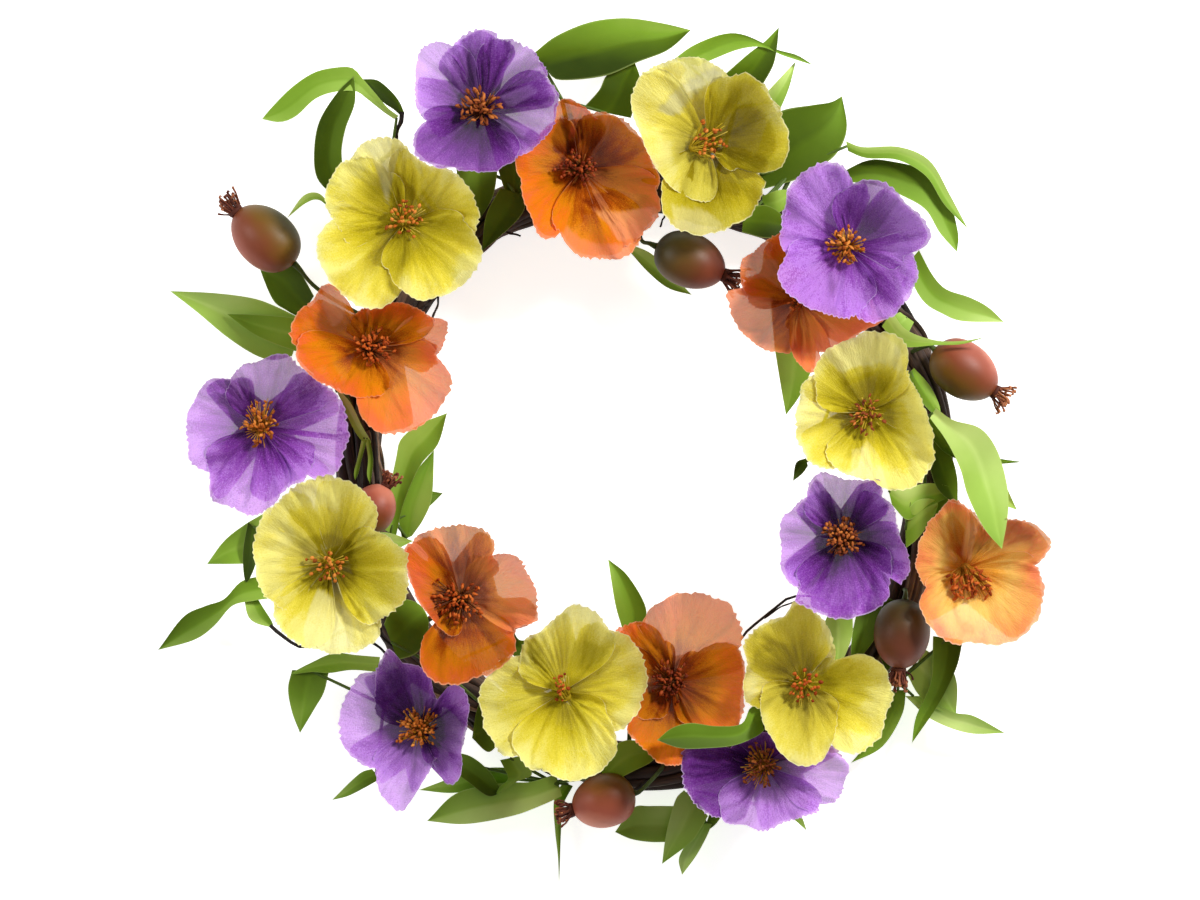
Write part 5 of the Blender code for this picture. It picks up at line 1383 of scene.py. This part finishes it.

# ---- leaves -----------------------------------------------------------------------------------------
# Each blade: sprig, its two edges from base to tip (plan positions), height of
# base and tip in mm, tone at base, tone at tip (0 dark to 1 light; the leaf's own
# green with painted light and shade in it), how much lighter the first edge is than
# the second (painted light on the side turned to the light), and the depth of its fold in mm.
BLADES = {
    "L1": ("s01", [(399, 116), (388, 108), (376, 94), (363, 79), (353, 68), (339, 67), (315, 72), (292, 87), (272, 107), (262, 119)],
           [(394, 119), (385, 113), (376, 106), (366, 98), (355, 91), (334, 92), (315, 99), (296, 116), (280, 122), (262, 119)], 31, 35, 0.72, 0.78, -0.05, 0.8),
    "L1b": ("s01", [(404, 112), (399, 101), (390, 90), (377, 80), (362, 79)],
            [(400, 115), (393, 109), (384, 103), (371, 92), (362, 80)], 28, 32, 0.05, 0.02, 0.1, 0.6),
    "L2": ("s01", [(333, 196), (317, 178), (314, 152), (319, 122), (336, 94), (354, 76)],
           [(345, 184), (342, 160), (342, 146), (346, 127), (355, 102), (354, 76)], 24, 36, 0.18, 0.18, -0.08, 1.6),
    "L3": ("s01", [(330, 204), (318, 193), (303, 196), (287, 218)], [(332, 211), (319, 200), (306, 203), (287, 218)], 24, 24, 0.86, 0.86, 0.1, 0.4),
    "L4": ("s02", [(534, 53), (556, 36), (590, 22), (626, 18), (662, 23), (691, 30)],
           [(548, 72), (560, 80), (604, 76), (638, 62), (668, 50), (691, 30)], 28, 34, 0.06, 0.46, 0.24, 1.6),
    "L5": ("s02", [(583, 108), (599, 90), (606, 76), (620, 67), (635, 63)],
           [(631, 118), (638, 95), (640, 78), (635, 63)], 22, 28, 0.16, 0.3, 0.02, 1.5),
    "L6": ("s03", [(674, 59), (694, 45), (723, 34), (745, 35), (776, 49), (797, 55), (813, 65)],
           [(698, 66), (716, 58), (740, 49), (762, 47), (782, 55), (797, 60), (813, 65)], 28, 30, 0.66, 0.38, -0.08, 0.8),
    "L7": ("s03", [(722, 77), (748, 54), (764, 42), (779, 27)], [(762, 86), (773, 66), (777, 48), (779, 27)], 22, 32, 0.16, 0.30, 0.10, 1.2),
    "L8": ("s03", [(767, 92), (780, 78), (796, 61)], [(780, 110), (789, 88), (796, 61)], 20, 24, 0.86, 0.80, 0.1, 0.8),
    "L9": ("s04", [(755, 160), (768, 122), (783, 110), (812, 105), (831, 102), (842, 96)],
           [(764, 189), (800, 178), (829, 161), (842, 145), (847, 125), (842, 96)], 26, 30, 0.1, 0.3, -0.12, 1.8),
    "L10": ("s04", [(846, 141), (863, 147), (900, 147), (930, 161), (950, 195), (968, 229)],
            [(848, 151), (866, 158), (898, 160), (926, 176), (944, 204), (968, 229)], 32, 27, 0.66, 0.6, 0.2, 0.8),
    "L11": ("s04", [(846, 170), (865, 161), (884, 160), (928, 171), (947, 194), (958, 232), (957, 252)],
            [(852, 182), (878, 186), (905, 197), (926, 210), (940, 233), (957, 252)], 24, 22, 0.36, 0.66, -0.1, 1.3),
    "L12": ("s05", [(919, 250), (932, 274), (946, 289), (969, 297), (988, 307), (1004, 322)],
            [(907, 264), (914, 286), (925, 303), (941, 313), (962, 321), (1004, 322)], 42, 32, 0.52, 0.84, -0.06, 1.0),
    "L13": ("s05", [(892, 312), (907, 330), (934, 340), (960, 341), (986, 337)],
            [(882, 326), (900, 346), (936, 345), (962, 344), (986, 337)], 46, 64, 0.86, 0.62, 0.1, 0.5),
    "L14": ("s04", [(762, 196), (778, 190), (790, 188)], [(764, 214), (780, 212), (792, 200)], 38, 38, 0.5, 0.55, 0.0, 0.5),
    "L15": ("s07", [(774, 344), (780, 381), (786, 415)], [(814, 358), (810, 374), (799, 397), (786, 415)], 22, 24, 0.56, 0.6, 0.06, 1.0),
    "L16": ("s04", [(744, 210), (765, 205), (786, 214)], [(742, 232), (765, 238), (786, 236)], 40, 40, 0.18, 0.2, 0.1, 0.8),
    "L17": ("s06", [(936, 408), (953, 420), (980, 428), (997, 450), (1007, 485), (1008, 513), (1002, 549)],
            [(930, 418), (946, 440), (960, 468), (968, 496), (984, 528), (1002, 549)], 52, 92, 0.9, 0.82, 0.06, 1.2),
    "L18": ("s06", [(932, 412), (945, 436), (964, 448), (992, 457), (1023, 462)],
            [(924, 426), (942, 450), (966, 462), (996, 464), (1023, 462)], 44, 50, 0.24, 0.30, 0.1, 0.8),
    "L19": ("s07", [(806, 458), (796, 463), (793, 481)], [(808, 466), (802, 474), (793, 481)], 22, 22, 0.15, 0.15, 0.0, 0.5),
    "L20": ("s06", [(932, 424), (948, 448), (957, 475), (958, 502)], [(922, 436), (930, 468), (938, 490), (956, 506)], 40, 42, 0.20, 0.34, 0.12, 1.2),
    "L21": ("s06", [(1000, 470), (1008, 490), (1017, 510)], [(996, 490), (1004, 504), (1017, 510)], 40, 42, 0.8, 0.8, 0.0, 0.5),
    "L20b": ("s06", [(886, 480), (904, 487), (930, 483), (958, 487)], [(892, 505), (908, 520), (926, 508), (958, 494)], 42, 40, 0.62, 0.5, 0.18, 0.9),
    "L20c": ("s06", [(905, 512), (918, 500), (938, 497)], [(906, 548), (918, 538), (938, 512)], 40, 40, 0.58, 0.7, 0.1, 0.9),
    "L20d": ("s06", [(925, 498), (942, 496), (958, 505)], [(925, 528), (940, 526), (958, 515)], 34, 36, 0.30, 0.4, 0.1, 0.9),
    "L21b": ("s06", [(914, 368), (930, 386), (944, 412)], [(908, 374), (918, 396), (934, 418)], 40, 42, 0.5, 0.5, 0.2, 0.6),
    "L22": ("s08", [(933, 636), (931, 681), (916, 717), (912, 743)], [(963, 640), (956, 669), (938, 705), (912, 743)], 24, 26, 0.22, 0.4, 0.06, 1.4),
    "L23": ("s08", [(922, 696), (953, 712), (974, 716), (1005, 733)], [(905, 696), (931, 719), (968, 733), (1005, 733)], 19, 20, 0.82, 0.80, 0.02, 0.9),
    "L24": ("s08", [(926, 650), (948, 664), (957, 684), (956, 716)], [(908, 676), (918, 694), (934, 708), (956, 716)], 21, 20, 0.80, 0.84, 0.06, 0.8),
    "L25": ("s08", [(906, 690), (902, 715), (882, 747), (851, 763)], [(890, 690), (882, 716), (868, 742), (851, 763)], 17, 14, 0.36, 0.44, 0.1, 0.9),
    "L26": ("s11", [(760, 705), (750, 708), (741, 724), (715, 726), (691, 723), (672, 728), (657, 740)],
            [(764, 730), (757, 736), (735, 745), (707, 748), (680, 748), (657, 740)], 67, 92, 0.34, 0.26, 0.10, 1.3),
    "L27": ("s10", [(674, 806), (650, 806), (633, 808), (615, 832)], [(668, 842), (650, 842), (631, 839), (615, 832)], 18, 16, 0.62, 0.68, 0.1, 1.1),
    "L28": ("s10", [(684, 790), (675, 801), (666, 835), (662, 864)], [(708, 816), (700, 830), (690, 843), (662, 864)], 20, 18, 0.62, 0.82, 0.1, 1.2),
    "L29": ("s10", [(700, 822), (690, 838), (679, 858), (682, 875)], [(712, 824), (706, 838), (696, 856), (682, 875)], 16, 14, 0.82, 0.90, 0.0, 0.8),
    "L29b": ("s10", [(712, 806), (708, 818), (704, 830)], [(724, 812), (716, 824), (706, 832)], 16, 14, 0.3, 0.3, 0.0, 0.6),
    "L30": ("s10", [(780, 812), (792, 818), (807, 831)], [(786, 808), (800, 814), (807, 831)], 16, 16, 0.8, 0.86, 0.0, 0.5),
    "L31": ("s12", [(563, 782), (554, 800), (555, 830), (558, 858), (559, 888)], [(573, 786), (563, 806), (561, 832), (560, 860), (559, 888)], 12, 10, 0.72, 0.66, 0.15, 0.5),
    "L32": ("s12", [(556, 774), (530, 782), (504, 783), (457, 793), (427, 821)],
            [(562, 796), (540, 806), (512, 816), (466, 824), (427, 821)], 18, 20, 0.72, 0.74, -0.12, 1.5),
    "L33b": ("s12", [(520, 768), (485, 768), (457, 776), (419, 790)], [(500, 790), (478, 790), (450, 793), (419, 790)], 13, 10, 0.60, 0.72, 0.1, 0.9),
    "L33c": ("s12", [(448, 752), (470, 756), (490, 772), (502, 792)], [(452, 770), (468, 782), (488, 796), (502, 792)], 24, 22, 0.44, 0.3, 0.12, 1.0),
    "L33d": ("s12", [(520, 756), (532, 774), (516, 782), (500, 794)], [(500, 760), (508, 778), (500, 786), (494, 794)], 26, 24, 0.56, 0.66, 0.1, 0.8),
    "L33": ("s13", [(372, 769), (362, 772), (351, 781), (332, 800)], [(380, 779), (366, 787), (348, 796), (332, 800)], 20, 16, 0.62, 0.60, 0.1, 0.6),
    "L34": ("s13", [(292, 670), (288, 689), (292, 712), (300, 733)], [(329, 671), (324, 692), (315, 708), (300, 733)], 24, 18, 0.4, 0.62, 0.04, 1.0),
    "L34b": ("s13", [(380, 657), (356, 655), (334, 653), (312, 662), (291, 672)], [(378, 672), (352, 670), (330, 673), (312, 672), (291, 676)], 26, 25, 0.66, 0.60, 0.06, 0.8),
    "L35": ("s14", [(268, 575), (242, 581), (224, 599), (205, 606), (183, 617), (158, 650)],
            [(272, 598), (252, 601), (232, 606), (214, 626), (194, 640), (158, 650)], 24, 22, 0.56, 0.52, -0.10, 1.2),
    "L36": ("s14", [(266, 512), (244, 525), (224, 541), (207, 564)], [(268, 560), (254, 563), (236, 564), (207, 564)], 26, 24, 0.68, 0.66, 0.05, 0.9),
    "L37": ("s14", [(248, 522), (243, 550), (243, 580)], [(258, 530), (257, 558), (249, 584)], 29, 26, 0.06, 0.10, 0.0, 0.8),
    "L37b": ("s14", [(243, 590), (249, 618), (268, 628)], [(256, 596), (266, 612), (276, 626)], 21, 18, 0.66, 0.62, 0.1, 0.8),
    "L38": ("s15", [(304, 320), (275, 306), (252, 298), (214, 293), (170, 291)],
            [(292, 356), (274, 360), (255, 355), (227, 337), (197, 312), (170, 291)], 22, 26, 0.62, 0.68, 0.02, 1.4),
    "L39": ("s15", [(300, 318), (265, 315), (227, 314)], [(298, 352), (275, 344), (252, 333), (227, 314)], 27, 29, 0.36, 0.5, 0.02, 1.0),
    "L40": ("s15", [(300, 318), (286, 310), (273, 300), (260, 271)], [(314, 296), (304, 278), (294, 262), (260, 266)], 20, 16, 0.14, 0.24, 0.02, 1.0),
    "L40b": ("s15", [(334, 386), (350, 402), (362, 426), (372, 440)], [(340, 398), (350, 422), (360, 440), (370, 446)], 43, 40, 0.86, 0.66, 0.15, 0.8),
    "L40c": ("s15", [(362, 438), (358, 456), (354, 472), (355, 480)], [(367, 440), (362, 458), (358, 474), (355, 480)], 41, 39, 0.62, 0.5, 0.2, 0.5),
    "L40d": ("s15", [(365, 438), (368, 458), (367, 474), (370, 484)], [(370, 440), (373, 458), (372, 474), (370, 484)], 41, 39, 0.66, 0.5, 0.2, 0.5),
    "L41": ("s16", [(385, 530), (388, 500), (396, 458), (401, 439), (420, 424), (447, 413)],
            [(396, 536), (404, 502), (420, 466), (438, 444), (447, 413)], 26, 34, 0.66, 0.46, 0.12, 1.2),
    "L42": ("s16", [(402, 540), (398, 504), (414, 474), (434, 450)], [(412, 536), (424, 518), (432, 496), (434, 450)], 22, 24, 0.52, 0.46, -0.16, 1.4),
    "L43": ("s16", [(414, 506), (426, 492), (443, 493)], [(418, 516), (432, 504), (443, 493)], 20, 20, 0.3, 0.3, 0.0, 0.6),
    "L44": ("s17", [(622, 628), (615, 603), (608, 559)], [(642, 632), (646, 608), (628, 576), (608, 559)], 22, 26, 0.34, 0.54, 0.10, 1.1),
    "L45": ("s03x", [(456, 168), (461, 192), (480, 219)], [(498, 168), (493, 196), (480, 219)], 46, 42, 0.36, 0.30, 0.10, 1.2),
    "L45b": ("s03x", [(500, 188), (486, 216), (482, 251)], [(528, 196), (522, 214), (505, 232), (482, 251)], 42, 39, 0.12, 0.20, 0.10, 1.3),
    "L45c": ("s03x", [(494, 158), (500, 176), (506, 198)], [(526, 152), (528, 172), (522, 198)], 40, 39, 0.10, 0.16, 0.0, 0.9),
    "L46": ("s02x", [(630, 244), (652, 254), (672, 274), (692, 295)], [(630, 252), (648, 272), (668, 288), (692, 295)], 24, 22, 0.76, 0.72, 0.12, 0.7),
    "L47": ("s17x", [(384, 624), (394, 602), (416, 596)], [(398, 660), (418, 652), (434, 626)], 40, 40, 0.34, 0.4, 0.05, 1.0),
    "L48": ("s17x", [(512, 626), (520, 640), (540, 636)], [(506, 650), (520, 658), (540, 650)], 22, 24, 0.12, 0.2, 0.0, 0.8),
    "L48b": ("s17x", [(492, 690), (478, 706), (472, 738)], [(500, 742), (488, 752), (472, 738)], 40, 39, 0.34, 0.40, 0.0, 0.8),
    "L48c": ("s12", [(600, 768), (620, 742), (650, 740)], [(606, 786), (636, 770), (660, 762)], 39, 39, 0.44, 0.5, 0.05, 0.9),
    "L49": ("s09", [(832, 606), (824, 630), (836, 666)], [(852, 606), (852, 636), (840, 668)], 42, 46, 0.78, 0.80, 0.0, 0.9),
    "L50": ("s09", [(858, 606), (852, 636), (850, 664)], [(882, 606), (876, 636), (856, 664)], 40, 42, 0.14, 0.26, 0.0, 1.1),
    "L51": ("s09", [(880, 600), (876, 640), (884, 668)], [(902, 600), (900, 640), (890, 672)], 40, 39, 0.06, 0.10, 0.0, 1.1),
    "L52": ("s07", [(900, 312), (888, 318), (884, 330)], [(914, 322), (904, 340), (894, 346)], 40, 40, 0.7, 0.7, 0.0, 0.6),
    "L53": ("s14", [(372, 532), (390, 533), (413, 541)], [(370, 545), (392, 550), (413, 541)], 39, 38, 0.66, 0.7, 0.1, 0.5),
}
EXTRA_SPRIGS = {"s03x": ((505, 180), 38), "s02x": ((640, 238), 24), "s17x": ((440, 668), 38)}
LEAF_ROWS = 30
LEAF_U = np.array([-1.0, -0.93, -0.72, -0.46, -0.22, 0.0, 0.22, 0.46, 0.72, 0.93, 1.0])
LEAF_HALF = 0.00055


def blade(s, data, seed):
    sprig, edge_a, edge_b, z0, z1, tone0, tone1, cross, fold = data
    A, B = spline(edge_a, LEAF_ROWS), spline(edge_b, LEAF_ROWS)
    if math.dist(edge_a[-1], edge_b[-1]) > 1:
        tip = (A[-1] + B[-1]) / 2
        k = np.linspace(0, 1, LEAF_ROWS)[:, None] ** 8
        A, B = A * (1 - k) + tip * k, B * (1 - k) + tip * k
    t = (0.5 + 0.5 * LEAF_U)[None, :, None]
    xy = A[:, None] * (1 - t) + B[:, None] * t
    v = np.linspace(0, 1, LEAF_ROWS)[:, None]
    u = LEAF_U[None, :]
    width = np.linalg.norm(B - A, axis=1)[:, None] * UNIT
    z = (z0 + (z1 - z0) * v) * 0.001
    z = z + 0.0022 * np.sin(math.pi * v) * (1 if z1 >= z0 else 0.6)
    z = z + 1.5 * fold * 0.001 * np.abs(u) ** 1.15 * np.minimum(1.0, width / 0.012) - 0.5 * fold * 0.001
    z = z + 0.0012 * ripple(seed, 3.2 * v + 0.8 * u, 1.4 * u) * np.minimum(1.0, width / 0.010)
    z = np.maximum(z, 0.0016)
    top = plan_points(xy[..., 0], xy[..., 1], z)
    # tone from base to tip with random mottling, painted light and shade across the blade for the side turned to the
    # light, and a thin line along the middle fold: painted light where the first edge is the lit one, painted shade
    # where it is not
    tone = tone0 + (tone1 - tone0) * v - cross * (0.5 * u + 0.7 * np.tanh(4 * u)) + 0.14 * ripple(seed + 1, 2.6 * v, 0.9 * u)
    tone = tone + 0.06 * np.exp(-(u / 0.10) ** 2) * (1 if cross >= 0 else -1)
    rows, cols = tone.shape
    uv = np.stack([u * width * 0.5 + 0 * v, v * 0.08 + 0 * u], axis=-1)
    rim = np.zeros_like(tone)
    rim[:, 0] = rim[:, -1] = rim[-1] = 0.34
    looks = np.stack([tone, np.zeros_like(tone), rim], axis=-1)
    thick = LEAF_HALF * 2 * np.ones_like(tone)
    thick[-1] = LEAF_HALF * 0.8
    under = top - np.stack([0 * thick, 0 * thick, thick], axis=-1)
    low = looks.copy()
    low[..., 0] = np.clip(tone - 0.06, 0, 1)
    base = s.count
    s.sheet(top, looks, uv)
    s.sheet(under, low, uv, flip=True)
    n = rows * cols
    border = ([(0, c) for c in range(cols)] + [(r, cols - 1) for r in range(1, rows)]
              + [(rows - 1, c) for c in range(cols - 2, -1, -1)] + [(r, 0) for r in range(rows - 2, 0, -1)])
    # the pale cut edge, a band of its own so that its colour stays crisp
    pts, looks_e = [], []
    for r, c in border:
        for p in (top[r, c], under[r, c]):
            pts.append(p)
            looks_e.append((min(1.0, tone[r, c] + 0.25), 0.0, 0.55))
    m = len(border)
    faces = []
    for i in range(m):
        j = (i + 1) % m
        faces.append((2 * i, 2 * i + 1, 2 * j + 1, 2 * j))
    s.add(pts, faces, np.array(looks_e))
    return (top[0].mean(axis=0) + under[0].mean(axis=0)) / 2


groups = {}
for leaf, data in BLADES.items():
    groups.setdefault(data[0], []).append((leaf, data))
for number, (key, (fork, fz, _)) in enumerate(SPRIGS.items(), 1):
    groups.setdefault(key, [])
for key in sorted(groups):
    if key in SPRIGS:
        fork, fz = SPRIGS[key][0], SPRIGS[key][1]
        number = list(SPRIGS).index(key) + 1
        name, nodes = "leaf_sprig_%02d_leaves" % number, ["leaf_sprig_%02d" % number]
    else:
        fork, fz = EXTRA_SPRIGS[key]
        name, nodes = "leaf_sprig_%s_leaves" % key[1:], []
    s = Shape()
    f = plan_points(np.float64(fork[0]), np.float64(fork[1]), np.float64(fz * 0.001))
    root = ring_point(fork[0], fork[1], min(fz * 0.001, 0.026))
    s.tube(spline([root, (root + f) / 2 + np.array([0, 0, 0.0015]), f], 10), 0.0014, 8, (0.3, 0.2, 0.0), slot=1)
    for i, (leaf, data) in enumerate(groups[key]):
        seed = 3000 + 17 * sum(ord(ch) * (k + 1) for k, ch in enumerate(leaf))
        foot = blade(s, data, seed % 100000)
        mid = (f + foot) / 2 + np.array([0, 0, 0.0012])
        if np.linalg.norm(foot - f) > 0.0005:
            s.tube(spline([f, mid, foot], 10), np.linspace(0.0012, 0.0009, 10), 7, (0.45, 0.1, 0.0), slot=1)
    finish_piece(s.build(name, [LEAF, LEAF_STALK]), nodes)

# ---- vine ring ------------------------------------------------------------------------------------------
RING_Z = TUBE_R + TUBE_LOBE
mx, my = (RING_MID[0] - MID_X) * UNIT * (1 - TUBE_R / VIEW), (MID_Y - RING_MID[1]) * UNIT * (1 - TUBE_R / VIEW)
BIG = RING_R * UNIT * (1 - TUBE_R / VIEW)


# How far the bundle strays outward from a true ring, plan units, by direction.
RING_AT = (0, 27, 50, 68, 95, 120, 140, 160, 180, 200, 232, 250, 270, 300, 330)
RING_SHIFT = (4, 5, 2, -6, -2, 9, 6, -2, -8, -4, -10, -2, 3, 6, 5)


def vine(s, phase, turns, off, thick, seed, steps=300, sides=9, span=(0.0, 1.0), tone=0.5):
    """One vine wound round the ring, knotty and not quite round."""
    closed = span == (0.0, 1.0)
    u = TWO_PI * (span[0] + (span[1] - span[0]) * np.arange(steps) / (steps if closed else steps - 1))
    wob = np.interp(np.degrees(u) % 360, RING_AT, RING_SHIFT, period=360) * UNIT + 0.0006 * np.sin(7 * u)
    s_ang = phase + turns * u + 0.22 * ripple(seed, 2.0 * np.cos(u), 2.0 * np.sin(u))
    o = off + 0.0011 * ripple(seed + 1, 4 * np.cos(u), 4 * np.sin(u))
    rad = BIG + wob + o * np.cos(s_ang)
    z = RING_Z + o * np.sin(s_ang)
    line = np.stack([mx + rad * np.cos(u), my + rad * np.sin(u), z], axis=1)
    knot = np.clip(ripple(seed + 2, 17 * np.cos(u), 17 * np.sin(u)) - 0.75, 0, 1)
    r = thick * (1 + 0.09 * ripple(seed + 3, 6 * np.cos(u), 6 * np.sin(u)) + 0.30 * knot)
    line[:, 2] = np.maximum(line[:, 2], r + 0.0001)
    step = (np.roll(line, -1, axis=0) - np.roll(line, 1, axis=0)) if closed else np.gradient(line, axis=0)
    step /= np.linalg.norm(step, axis=1)[:, None]
    radial = np.stack([np.cos(u), np.sin(u), 0 * u], axis=1)
    side = radial - step * (radial * step).sum(1)[:, None]
    side /= np.linalg.norm(side, axis=1)[:, None]
    up = np.cross(step, side)
    g = TWO_PI * np.arange(sides) / sides
    bumps = 1 + 0.07 * ripple(seed + 4, 3 * np.cos(g)[None, :] + 9 * np.cos(u)[:, None], 3 * np.sin(g)[None, :] + 9 * np.sin(u)[:, None])
    rr = r[:, None] * bumps
    pts = line[:, None] + rr[..., None] * (np.cos(g)[None, :, None] * side[:, None] + np.sin(g)[None, :, None] * up[:, None])
    far = BIG * u
    uv = np.stack([np.broadcast_to(g * thick, (steps, sides)), np.broadcast_to(far[:, None], (steps, sides))], axis=-1)
    faces = []
    last = steps if closed else steps - 1
    for i in range(last):
        for k in range(sides):
            a, b = i * sides + k, i * sides + (k + 1) % sides
            c, d = ((i + 1) % steps) * sides + (k + 1) % sides, ((i + 1) % steps) * sides + k
            faces.append((a, b, c, d))
    if not closed:
        faces.append(tuple(reversed(range(sides))))
        faces.append(tuple((steps - 1) * sides + k for k in range(sides)))
    s.add(pts.reshape(-1, 3), faces, (tone, 0.0, 0.0), uv.reshape(-1, 2))


s = Shape()
rnd = np.random.default_rng(77)
for i in range(10):
    vine(s, TWO_PI * i / 10 + rnd.uniform(-0.08, 0.08), 2, 0.0110, rnd.uniform(0.0032, 0.0044), 500 + 11 * i, tone=rnd.uniform(0.36, 0.60))
for i in range(4):
    vine(s, TWO_PI * i / 4 + 0.4, 2, 0.0050, 0.0042, 700 + 11 * i, sides=7, tone=0.4)
for i in range(5):
    a = rnd.uniform(0, 1)
    vine(s, rnd.uniform(0, TWO_PI), 2 + rnd.integers(3, 7), 0.0146, rnd.uniform(0.0012, 0.0019), 800 + 11 * i, steps=150, sides=7, span=(a, a + rnd.uniform(0.28, 0.5)), tone=rnd.uniform(0.45, 0.7))
finish_piece(s.build("vine_ring_vines", [BARK]), ["vine_ring"])

# ---- bare twigs and wires ------------------------------------------------------------------------------------
TWIGS = [
    ([(741, 640, 40), (750, 628, 42), (780, 604, 44), (794, 596, 46), (822, 600, 40), (858, 634, 28)], 0.0008),
    ([(764, 618, 42), (780, 608, 44), (790, 603, 45), (800, 597, 45)], 0.0005),
    ([(424, 306, 30), (434, 300, 26), (436, 288, 24)], 0.0008),
    ([(432, 318, 28), (438, 304, 26), (438, 292, 24)], 0.0007),
    ([(500, 230, 26), (507, 232, 28), (521, 236, 28)], 0.0007),
    ([(664, 216, 26), (662, 222, 28), (660, 227, 28)], 0.0006),
    ([(388, 608, 22), (376, 622, 24), (370, 638, 26), (380, 648, 26), (392, 662, 24)], 0.0009),
    ([(394, 606, 22), (384, 622, 23), (380, 634, 24), (388, 642, 24), (398, 652, 24)], 0.0008),
    ([(470, 722, 24), (482, 734, 24), (492, 736, 22)], 0.0008),
    ([(632, 792, 30), (648, 780, 28), (664, 766, 26)], 0.0012),
    ([(596, 770, 24), (616, 756, 26), (640, 750, 24)], 0.0011),
    ([(270, 625, 24), (284, 637, 24), (306, 647, 26), (345, 630, 24), (390, 604, 22)], 0.0011),
    ([(402, 112, 28), (401, 124, 28), (396, 138, 26), (408, 184, 26), (454, 244, 24)], 0.0014),
    ([(352, 540, 34), (360, 500, 37), (358, 440, 37), (348, 400, 34)], 0.0018),
    ([(372, 545, 32), (378, 500, 36), (374, 440, 36), (368, 400, 32)], 0.0016),
]
s = Shape()
for i, (pts, r) in enumerate(TWIGS):
    line = spline([plan_points(np.float64(x), np.float64(y), np.float64(z * 0.001)) for x, y, z in pts], 16)
    line = line + 0.00035 * np.stack([ripple(i * 5 + k, np.linspace(0, 9, 16)) for k in range(3)], axis=1)
    s.tube(line, r * (1 + 0.15 * ripple(i * 3, np.linspace(0, 14, 16))), 8, (0.30, 0.0, 0.0))
finish_piece(s.build("bare_twigs", [BARK]))

# ---- floor ---------------------------------------------------------------------------------------------------------
net = Net("pale_floor")
face = net.add("BsdfPrincipled")
face.inputs["Base Color"].default_value = (0.85, 0.85, 0.85, 1.0)
face.inputs["Roughness"].default_value = 0.9
face.inputs["Specular IOR Level"].default_value = 0.1
face.inputs["Emission Color"].default_value = (1.0, 1.0, 1.0, 1.0)
face.inputs["Emission Strength"].default_value = 0.74
net.surface(face)
me = bpy.data.meshes.new("floor")
me.from_pydata([(-4, -4, 0), (4, -4, 0), (4, 4, 0), (-4, 4, 0)], [], [(0, 1, 2, 3)])
me.materials.append(net.mat)
floor = bpy.data.objects.new("floor", me)
scene.collection.objects.link(floor)
